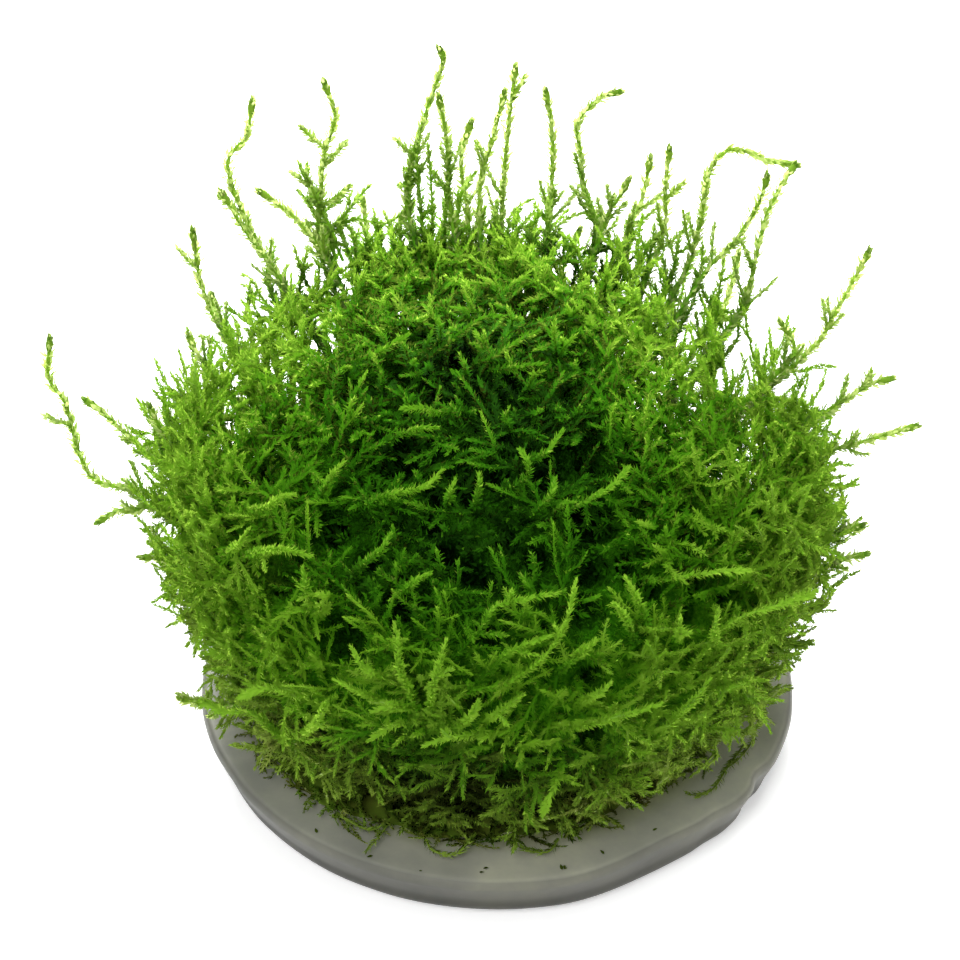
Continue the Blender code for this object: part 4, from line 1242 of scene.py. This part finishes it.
def grow_crown(settings, mound):
    """The leafy sprays that stand along the top of the crown against the light."""
    draw = np.random.default_rng(settings.seed + 4)
    growth = Growth(mound, 0.25, palest=0.82)
    for stoutness, *points in CROWN_SPRAYS:
        path = smooth_path(points, 4)
        foot = path[0] * (0.88, 0.88, 1.0) - UP * 5 * MM
        path = np.concatenate([[foot], path])
        upper = unit(np.array([0.0, -1.0, 0.4]) + 0.5 * draw.uniform(-1, 1, 3))
        leaf = ((0.95 + 0.15 * stoutness) * MM, (0.38 + 0.06 * stoutness) * MM, 0.46 * MM)
        tone = 0.22 + draw.uniform(-0.05, 0.05)
        growth.add_frond(path, upper, draw, leaf, tone, 0.94, stoutness + 1, 3.4 * MM, kind="plain", sides=5,
                         thick=(0.18 + 0.06 * stoutness) * MM, ranks=ROUND_RANKS, spread=84.0, grade=0.2)
    return growth


def add_bud(growth, path, draw, tone):
    """The closed bud at a shoot's tip: a small club with a few broad leaves wrapped round it."""
    count = 9
    total = path_length(path)
    swell = np.array([0.30, 0.38, 0.46, 0.52, 0.52, 0.45, 0.32, 0.12]) * MM
    core = along(path, total - np.linspace(2.2, 0.1, len(swell)) * MM)[0]
    growth.add_stem(core, swell, tone + 0.02, 0.72, 7)
    places, ways = along(path, total - np.linspace(1.7, 0.5, count) * MM)
    first = unit(np.cross(ways, np.array([0.31, 0.17, 0.53])))
    second = np.cross(ways, first)
    turn = np.arange(count) * 2.4
    outward = first * np.cos(turn)[:, None] + second * np.sin(turn)[:, None]
    length, width, fresh = (np.full(count, value) for value in (0.95 * MM, 0.62 * MM, 0.72))
    tints = tone + 0.38 + draw.uniform(-0.08, 0.08, count)
    growth.add_leaves(places + outward * 0.36 * MM, unit(ways + outward * 0.26), -outward,
                      length, width, tints, fresh, "fine")


def old_edge(turn):
    """How far the old growth reaches on the jelly in a direction."""
    left = 2.3 * float(bump_at(math.degrees(turn), 205.0, 65.0))
    right = 2.0 * float(bump_at(math.degrees(turn), -52.0, 50.0))
    return (33.9 + left - right + 1.4 * rough(flat_way(turn) * 30 * MM, 9 * MM)) * MM


def add_old_film(growth):
    """A low matted skin of old growth on the jelly, with a ragged edge."""
    rings, sides = 16, 220
    skin = np.zeros((rings, sides, 3))
    tints = np.zeros((rings, sides, 2))
    for k in range(sides):
        turn = 2 * math.pi * k / sides
        way = flat_way(turn)
        edge = old_edge(turn) + (rough(way * 30 * MM, 2.5 * MM, 3.0) - 1.4) * MM
        for i in range(rings):
            share = i / (rings - 1)
            place = way * (edge - 9.0 * MM * share ** 1.3)
            lift = 3.2 * share ** 1.1 + 0.5 * share * rough(place, 1.8 * MM, 6.0)
            skin[i, k] = place + UP * (PAD_TOP + lift * MM)
            mottle = rough(place, 2.2 * MM, 14.0) + 0.6 * rough(place, 1.0 * MM, 15.0)
            tints[i, k] = (0.58 - 0.3 * share + 0.16 * mottle, 0.35 + 0.3 * rough(place, 5 * MM, 16.0))
    vertices, triangles = loft(skin)
    growth.add(vertices, triangles, skin_tints(tints), np.tile(UP, (len(vertices), 1)))


def skin_tints(tints):
    """The tints of a lofted skin, with those of its two ends."""
    return kept_in(np.concatenate([tints.reshape(-1, 2), tints[0, :1], tints[-1, :1]]))


def old_path(turn, outer, radius, draw):
    """The path of one old shoot that stands or lies on the jelly, with its foot at a radius."""
    low = PAD_TOP + 0.1 * MM
    out = flat_way(turn)
    foot = out * radius + UP * (low + 0.3 * MM + 0.55 * (outer - radius) * draw.random())
    sideways = np.array([-out[1], out[0], 0.0]) * draw.uniform(-1, 1)
    standing = draw.random() < 0.6
    if standing:
        way = unit(sideways * 0.7 + out * draw.uniform(-0.2, 0.9) + UP * draw.uniform(0.3, 1.0))
        reach = draw.uniform(2.2, 4.8) * MM
        droop = 0.45
    else:
        way = unit(sideways + out * draw.uniform(-0.5, 0.6) + UP * draw.uniform(-0.15, 0.35))
        reach = draw.uniform(3.5, 8.0) * MM
        droop = 0.1
    path = bent_path(foot, way, reach, -out * 0.2 * reach - UP * droop * reach, 5)
    path = curled(path, draw, draw.uniform(0.2, 0.9) * MM)
    farthest = outer + 2.0 * MM
    far = np.hypot(path[:, 0], path[:, 1]).max()
    if far > farthest:
        path[:, :2] *= farthest / far
    path[:, 2] = np.maximum(path[:, 2], low)
    return path


def grow_old(settings, mound):
    """The tangle of old shoots round the foot of the mass, lying on the jelly."""
    draw = np.random.default_rng(settings.seed + 3)
    growth = Growth(mound, 0.5)
    leaf = (0.72 * MM, 0.36 * MM, 0.42 * MM)
    band = 9.5 * MM
    add_old_film(growth)
    for _ in range(settings.old_shoots):
        turn = draw.uniform(0, 2 * math.pi)
        outer = old_edge(turn)
        radius = outer - band * draw.random() ** 1.4
        path = old_path(turn, outer, radius, draw)
        inner = (outer - radius) / band
        # Painted shade: old shoots near and under the front of the mass are painted darker
        sunk = float(bump_at(math.degrees(turn), -90.0, 45.0) * eased(inner, 0.05, 0.45))
        khaki = float(bump_at(math.degrees(turn), -45.0, 50.0))
        fresh = draw.uniform(0.22, 0.75) - 0.12 * (1.0 - inner) - 0.2 * khaki
        tone = draw.uniform(-0.12, 0.15) + 0.20 * (1.0 - inner) - 0.18 * sunk + 0.15 * khaki
        growth.add_shoot(path, UP, draw, leaf, tone, fresh, thick=0.14 * MM, spread=74.0, thinning=0.3)
    for points in OLD_STRANDS:
        growth.add_shoot(smooth_path(points, 4), UP, draw, (1.0 * MM, 0.36 * MM, 0.45 * MM), 0.24, 0.42,
                         thick=0.2 * MM, spread=76.0)
    bits = np.array(LOOSE_BITS) * MM
    count = len(bits)
    aside = unit(draw.normal(size=bits.shape) * (1.0, 1.0, 0.1))
    size = draw.uniform(0.5, 0.9, count) * MM
    growth.add_leaves(bits, aside, np.tile(UP, (count, 1)), size, 0.6 * size,
                      draw.uniform(0.4, 0.6, count), np.full(count, 0.3), "fine")
    return growth


def grow_inner(mound):
    """A smooth lumpy green mound just inside the fronds, sunk behind the gaps with painted shade there, with
    its tints.
    """
    rings, sides = 80, 190
    crown = mound.top - 8.5 * MM
    heights = mound.foot + (crown - mound.foot) * np.sin(np.linspace(0, math.pi / 2, rings))
    lifted = mound.foot + (mound.top - mound.foot) * (heights - mound.foot) / (crown - mound.foot)
    radii = np.maximum(mound.reach(lifted) - 8.0 * MM, 0.4 * MM)
    centres = np.array([gap[:3] for gap in GAPS]) * MM
    spans = np.array([gap[3] for gap in GAPS]) * MM
    toward_crown = np.array([0.0, 6 * MM, 6 * MM])
    skin = np.zeros((rings, sides, 3))
    tints = np.zeros((rings, sides, 2))
    for i in range(rings):
        back = 3 * MM * between(heights[i], 20, 40)
        for k in range(sides):
            turn = 2 * math.pi * k / sides
            place = np.array([radii[i] * math.cos(turn), radii[i] * math.sin(turn) - back, heights[i]])
            away = centres - place
            run = away @ Gaps.FRONT_WAY
            aside = np.linalg.norm(away - run[:, None] * Gaps.FRONT_WAY, axis=1)
            sunk = float(np.max((1 - eased(aside / spans, 0.7, 1.9)) * (run > 0)))
            out = unit(place - UP * 25 * MM)
            lump = 1.7 * rough(place, 6 * MM, 7.0) + 0.7 * rough(place, 2.2 * MM, 2.0)
            skin[i, k] = place + out * (lump - 4.5 * sunk) * MM * (i > 1)
            corner = thinness(place + toward_crown)
            skin[i, k, 2] -= 19 * MM * corner * eased(skin[i, k, 2], mound.foot, 40 * MM)
            mottle = 0.12 * rough(place, 7 * MM, 12.0) + 0.06 * rough(place, 2.5 * MM, 4.0)
            # Painted shade behind the gaps, on top of the fronds' painted light and shade
            tints[i, k] = (tone_with_painted_light(place, mound) + 0.15 + mottle - 0.26 * sunk, zone_age(place, mound))
    vertices, triangles = loft(skin)
    return vertices, triangles, skin_tints(tints)


def grow_carpet(settings, mound, skin, tints):
    """Single leaves that cover the inner growth, with its own tints."""
    draw = np.random.default_rng(settings.seed + 6)
    growth = Growth(mound, 0.6)
    chosen = draw.integers(0, len(skin), settings.carpet_leaves)
    chosen = chosen[np.hypot(skin[chosen, 0], skin[chosen, 1]) > 3 * MM]
    count = len(chosen)
    places = skin[chosen] + draw.normal(size=(count, 3)) * 0.45 * MM
    out = mound.way_out(places)
    way = unit(out * draw.uniform(0.1, 0.9, (count, 1)) + draw.normal(size=(count, 3)) * 0.7 + UP * 0.2)
    face = unit(out + draw.normal(size=(count, 3)) * 0.4)
    size = draw.uniform(0.6, 1.3, count) * MM
    tone = tints[chosen, 0] + draw.uniform(-0.04, 0.10, count)
    growth.add_leaves(places, way, face, size, size * 0.42, tone, tints[chosen, 1], "tiny")
    return growth


def rounded_edge(radius, middle, first, count):
    """A quarter of a circle round a middle, from a first angle on, as (reach, height) points."""
    reach, height = middle
    return [(reach + radius * math.cos(turn), height + radius * math.sin(turn))
            for turn in first + np.linspace(0, math.pi / 2, count)]


def pad_profile(settings):
    """The pad's outline from the middle of its foot to the middle of its top, as (reach, height) points."""
    foot, rounding, rim = settings.foot_radius, settings.foot_round, settings.rim_round
    profile = [(0.5 * MM, 0.0)]
    profile += rounded_edge(rounding, (foot - rounding, rounding), -math.pi / 2, 8)
    profile += [(foot + (PAD_RADIUS - foot) * share, rounding + (PAD_TOP - rim - rounding) * share)
                for share in (0.3, 0.6, 0.85)]
    profile += rounded_edge(rim, (PAD_RADIUS - rim, PAD_TOP - rim), 0.0, 7)
    for share in (0.4, 0.7, 1.0):
        slope = 0.5 - 0.5 * math.cos(math.pi * share)
        profile.append((PAD_RADIUS - rim - settings.lip_width * share, PAD_TOP - settings.lip * slope))
    return profile + [(share * PAD_RADIUS, PAD_TOP - settings.lip) for share in (0.85, 0.6, 0.3, 0.02)]


def pad_skin(settings):
    """The pad of jelly: flat below, a low lip round its top, and a torn front right."""
    profile = pad_profile(settings)
    sides = 200
    inner = 0.85 * settings.foot_radius
    skin = np.zeros((len(profile), sides, 3))
    for k in range(sides):
        turn = 2 * math.pi * k / sides
        way = flat_way(turn)
        inwards = sum(depth * bump_at(math.degrees(turn), centre, width)
                      for centre, depth, width in PAD_DENTS)
        for i, (reach, height) in enumerate(profile):
            share = max(0.0, (reach - inner) / (PAD_RADIUS - inner))
            uneven = 0.12 * MM * rough(way * 40 * MM + UP * height, 7 * MM)
            skin[i, k] = way * reach * (1.0 - share * (inwards + uneven) / PAD_RADIUS) + UP * height
    return loft(skin)


# Operators


class MOSS_OT_jelly(bpy.types.Operator):
    """Make the jelly pad"""

    bl_idname = "moss.jelly"
    bl_label = "Make the jelly pad"

    def execute(self, context):
        settings = context.scene.moss_jelly
        vertices, triangles = pad_skin(settings)
        piece = add_piece("jelly_pad", vertices, triangles, jelly_finish(settings))
        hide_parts("gel_pad")
        return {"FINISHED"}


class MOSS_OT_old(bpy.types.Operator):
    """Grow the tangle of old shoots on the jelly"""

    bl_idname = "moss.old"
    bl_label = "Grow the old growth"

    def execute(self, context):
        settings = context.scene.moss_mass
        material = leaf_finish("old leaves", 0.3, (0.40, 0.42, 0.08), 0.5)
        piece = grow_old(settings, Mound(settings)).piece("old_growth_tangle", material)
        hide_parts("old_growth_mat")
        return {"FINISHED"}


class MOSS_OT_mass(bpy.types.Operator):
    """Grow the dense mass of leafy fronds"""

    bl_idname = "moss.mass"
    bl_label = "Grow the dense mass"

    def execute(self, context):
        settings = context.scene.moss_mass
        mound = Mound(settings)
        material = leaf_finish("moss leaves", 0.75, (0.38, 0.62, 0.06), 0.4)
        matted = leaf_finish("inner moss", 0.5, (0.32, 0.60, 0.05), 0.5, 0.9)
        vertices, triangles, tints = grow_inner(mound)
        pieces = [add_piece("moss_inner_growth", vertices, triangles, matted, tints)]
        pieces.append(grow_carpet(settings, mound, vertices, tints).piece("moss_inner_leaves", material))
        for i, growth in enumerate([*grow_mass(settings, mound), grow_pale(settings, mound)]):
            pieces.append(growth.piece(f"moss_fronds_{i + 1}", material))
        against_light = leaf_finish("crown leaves", 0.97, (0.50, 0.68, 0.15), 0.4, power=3.0)
        pieces.append(grow_crown(settings, mound).piece("moss_crown_sprays", against_light))
        for piece in pieces:
            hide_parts("moss_mass")
        return {"FINISHED"}


class MOSS_OT_shoots(bpy.types.Operator):
    """Grow the long thin shoots"""

    bl_idname = "moss.shoots"
    bl_label = "Grow the long shoots"

    def execute(self, context):
        settings = context.scene.moss_mass
        material = leaf_finish("shoot leaves", 0.97, (0.66, 0.77, 0.27), 0.4, power=3.0)
        piece = grow_long_shoots(settings, Mound(settings)).piece("moss_long_shoots", material)
        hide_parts(*LONG_SHOOT_NODES)
        return {"FINISHED"}


def add_floor(scene):
    """A wide plain floor just under the pad."""
    half, level = 3.0, -0.2 * MM
    corners = [(-half, -half, level), (half, -half, level), (half, half, level), (-half, half, level)]
    floor = bpy.data.meshes.new("studio_floor")
    floor.from_pydata(corners, [], [(0, 1, 2, 3)])
    floor.materials.append(floor_finish())
    ground = bpy.data.objects.new("studio_floor", floor)
    scene.collection.objects.link(ground)


def add_lights(scene, settings):
    """An even white room and three soft round lights aimed at the moss."""
    world = bpy.data.worlds.new("studio")
    world.use_nodes = True
    background = world.node_tree.nodes["Background"]
    background.inputs["Color"].default_value = (*WHITE, 1.0)
    background.inputs["Strength"].default_value = settings.world_light
    scene.world = world
    aim = Vector((0.0, 0.0, 40 * MM))
    for name, place, size, power in (
        ("back", (-0.10, 0.55, 0.50), 0.5, settings.back_light),
        ("front", (-0.20, -0.50, 0.60), 0.4, settings.front_light),
        ("top", (0.05, 0.05, 0.80), 0.5, settings.top_light),
    ):
        light = bpy.data.lights.new(name, "AREA")
        light.shape = "DISK"
        light.size = size
        light.energy = power
        lamp = bpy.data.objects.new(name, light)
        lamp.location = place
        lamp.rotation_euler = (aim - Vector(place)).to_track_quat("-Z", "Y").to_euler()
        scene.collection.objects.link(lamp)


def add_camera(scene, settings):
    """A camera that looks down at the moss from the front."""
    tilt = settings.elevation
    upward = Vector((0.0, math.sin(tilt), math.cos(tilt)))
    forward = Vector((0.0, math.cos(tilt), -math.sin(tilt)))
    middle = Vector((settings.aim_across, 0.0, PAD_TOP)) + upward * settings.aim_up
    camera = bpy.data.cameras.new("camera")
    camera.sensor_width = 36.0
    camera.lens = camera.sensor_width * settings.distance / settings.view_width
    camera.clip_start = 0.01
    camera.clip_end = 10.0
    eye = bpy.data.objects.new("camera", camera)
    eye.location = middle - forward * settings.distance
    eye.rotation_euler = forward.to_track_quat("-Z", "Y").to_euler()
    scene.collection.objects.link(eye)
    scene.camera = eye


class MOSS_OT_stage(bpy.types.Operator):
    """Make the floor, the lights and the camera"""

    bl_idname = "moss.stage"
    bl_label = "Make the stage"

    def execute(self, context):
        scene = context.scene
        add_floor(scene)
        add_lights(scene, scene.moss_stage)
        add_camera(scene, scene.moss_stage)
        scene.view_settings.view_transform = "Standard"
        return {"FINISHED"}


class MOSS_PT_panel(bpy.types.Panel):
    """The moss clump's pieces"""

    bl_idname = "MOSS_PT_panel"
    bl_label = "Water moss clump"
    bl_space_type = "VIEW_3D"
    bl_region_type = "UI"
    bl_category = "Moss"

    def draw(self, context):
        for maker in MAKERS:
            self.layout.operator(maker.bl_idname)


MAKERS = (MOSS_OT_stage, MOSS_OT_jelly, MOSS_OT_old, MOSS_OT_mass, MOSS_OT_shoots)
GROUPS = (("moss_jelly", JellySettings), ("moss_mass", MossSettings), ("moss_stage", StageSettings))


def register():
    """Add the classes and their settings."""
    for name, group in GROUPS:
        bpy.utils.register_class(group)
        setattr(bpy.types.Scene, name, PointerProperty(type=group))
    for maker in (*MAKERS, MOSS_PT_panel):
        bpy.utils.register_class(maker)


def unregister():
    """Take the classes and their settings away."""
    for maker in (*MAKERS, MOSS_PT_panel):
        bpy.utils.unregister_class(maker)
    for name, group in GROUPS:
        delattr(bpy.types.Scene, name)
        bpy.utils.unregister_class(group)


def main():
    """Make every piece in order."""
    register()
    for maker in MAKERS:
        area, name = maker.bl_idname.split(".")
        getattr(getattr(bpy.ops, area), name)()


if __name__ == "__main__":
    main()
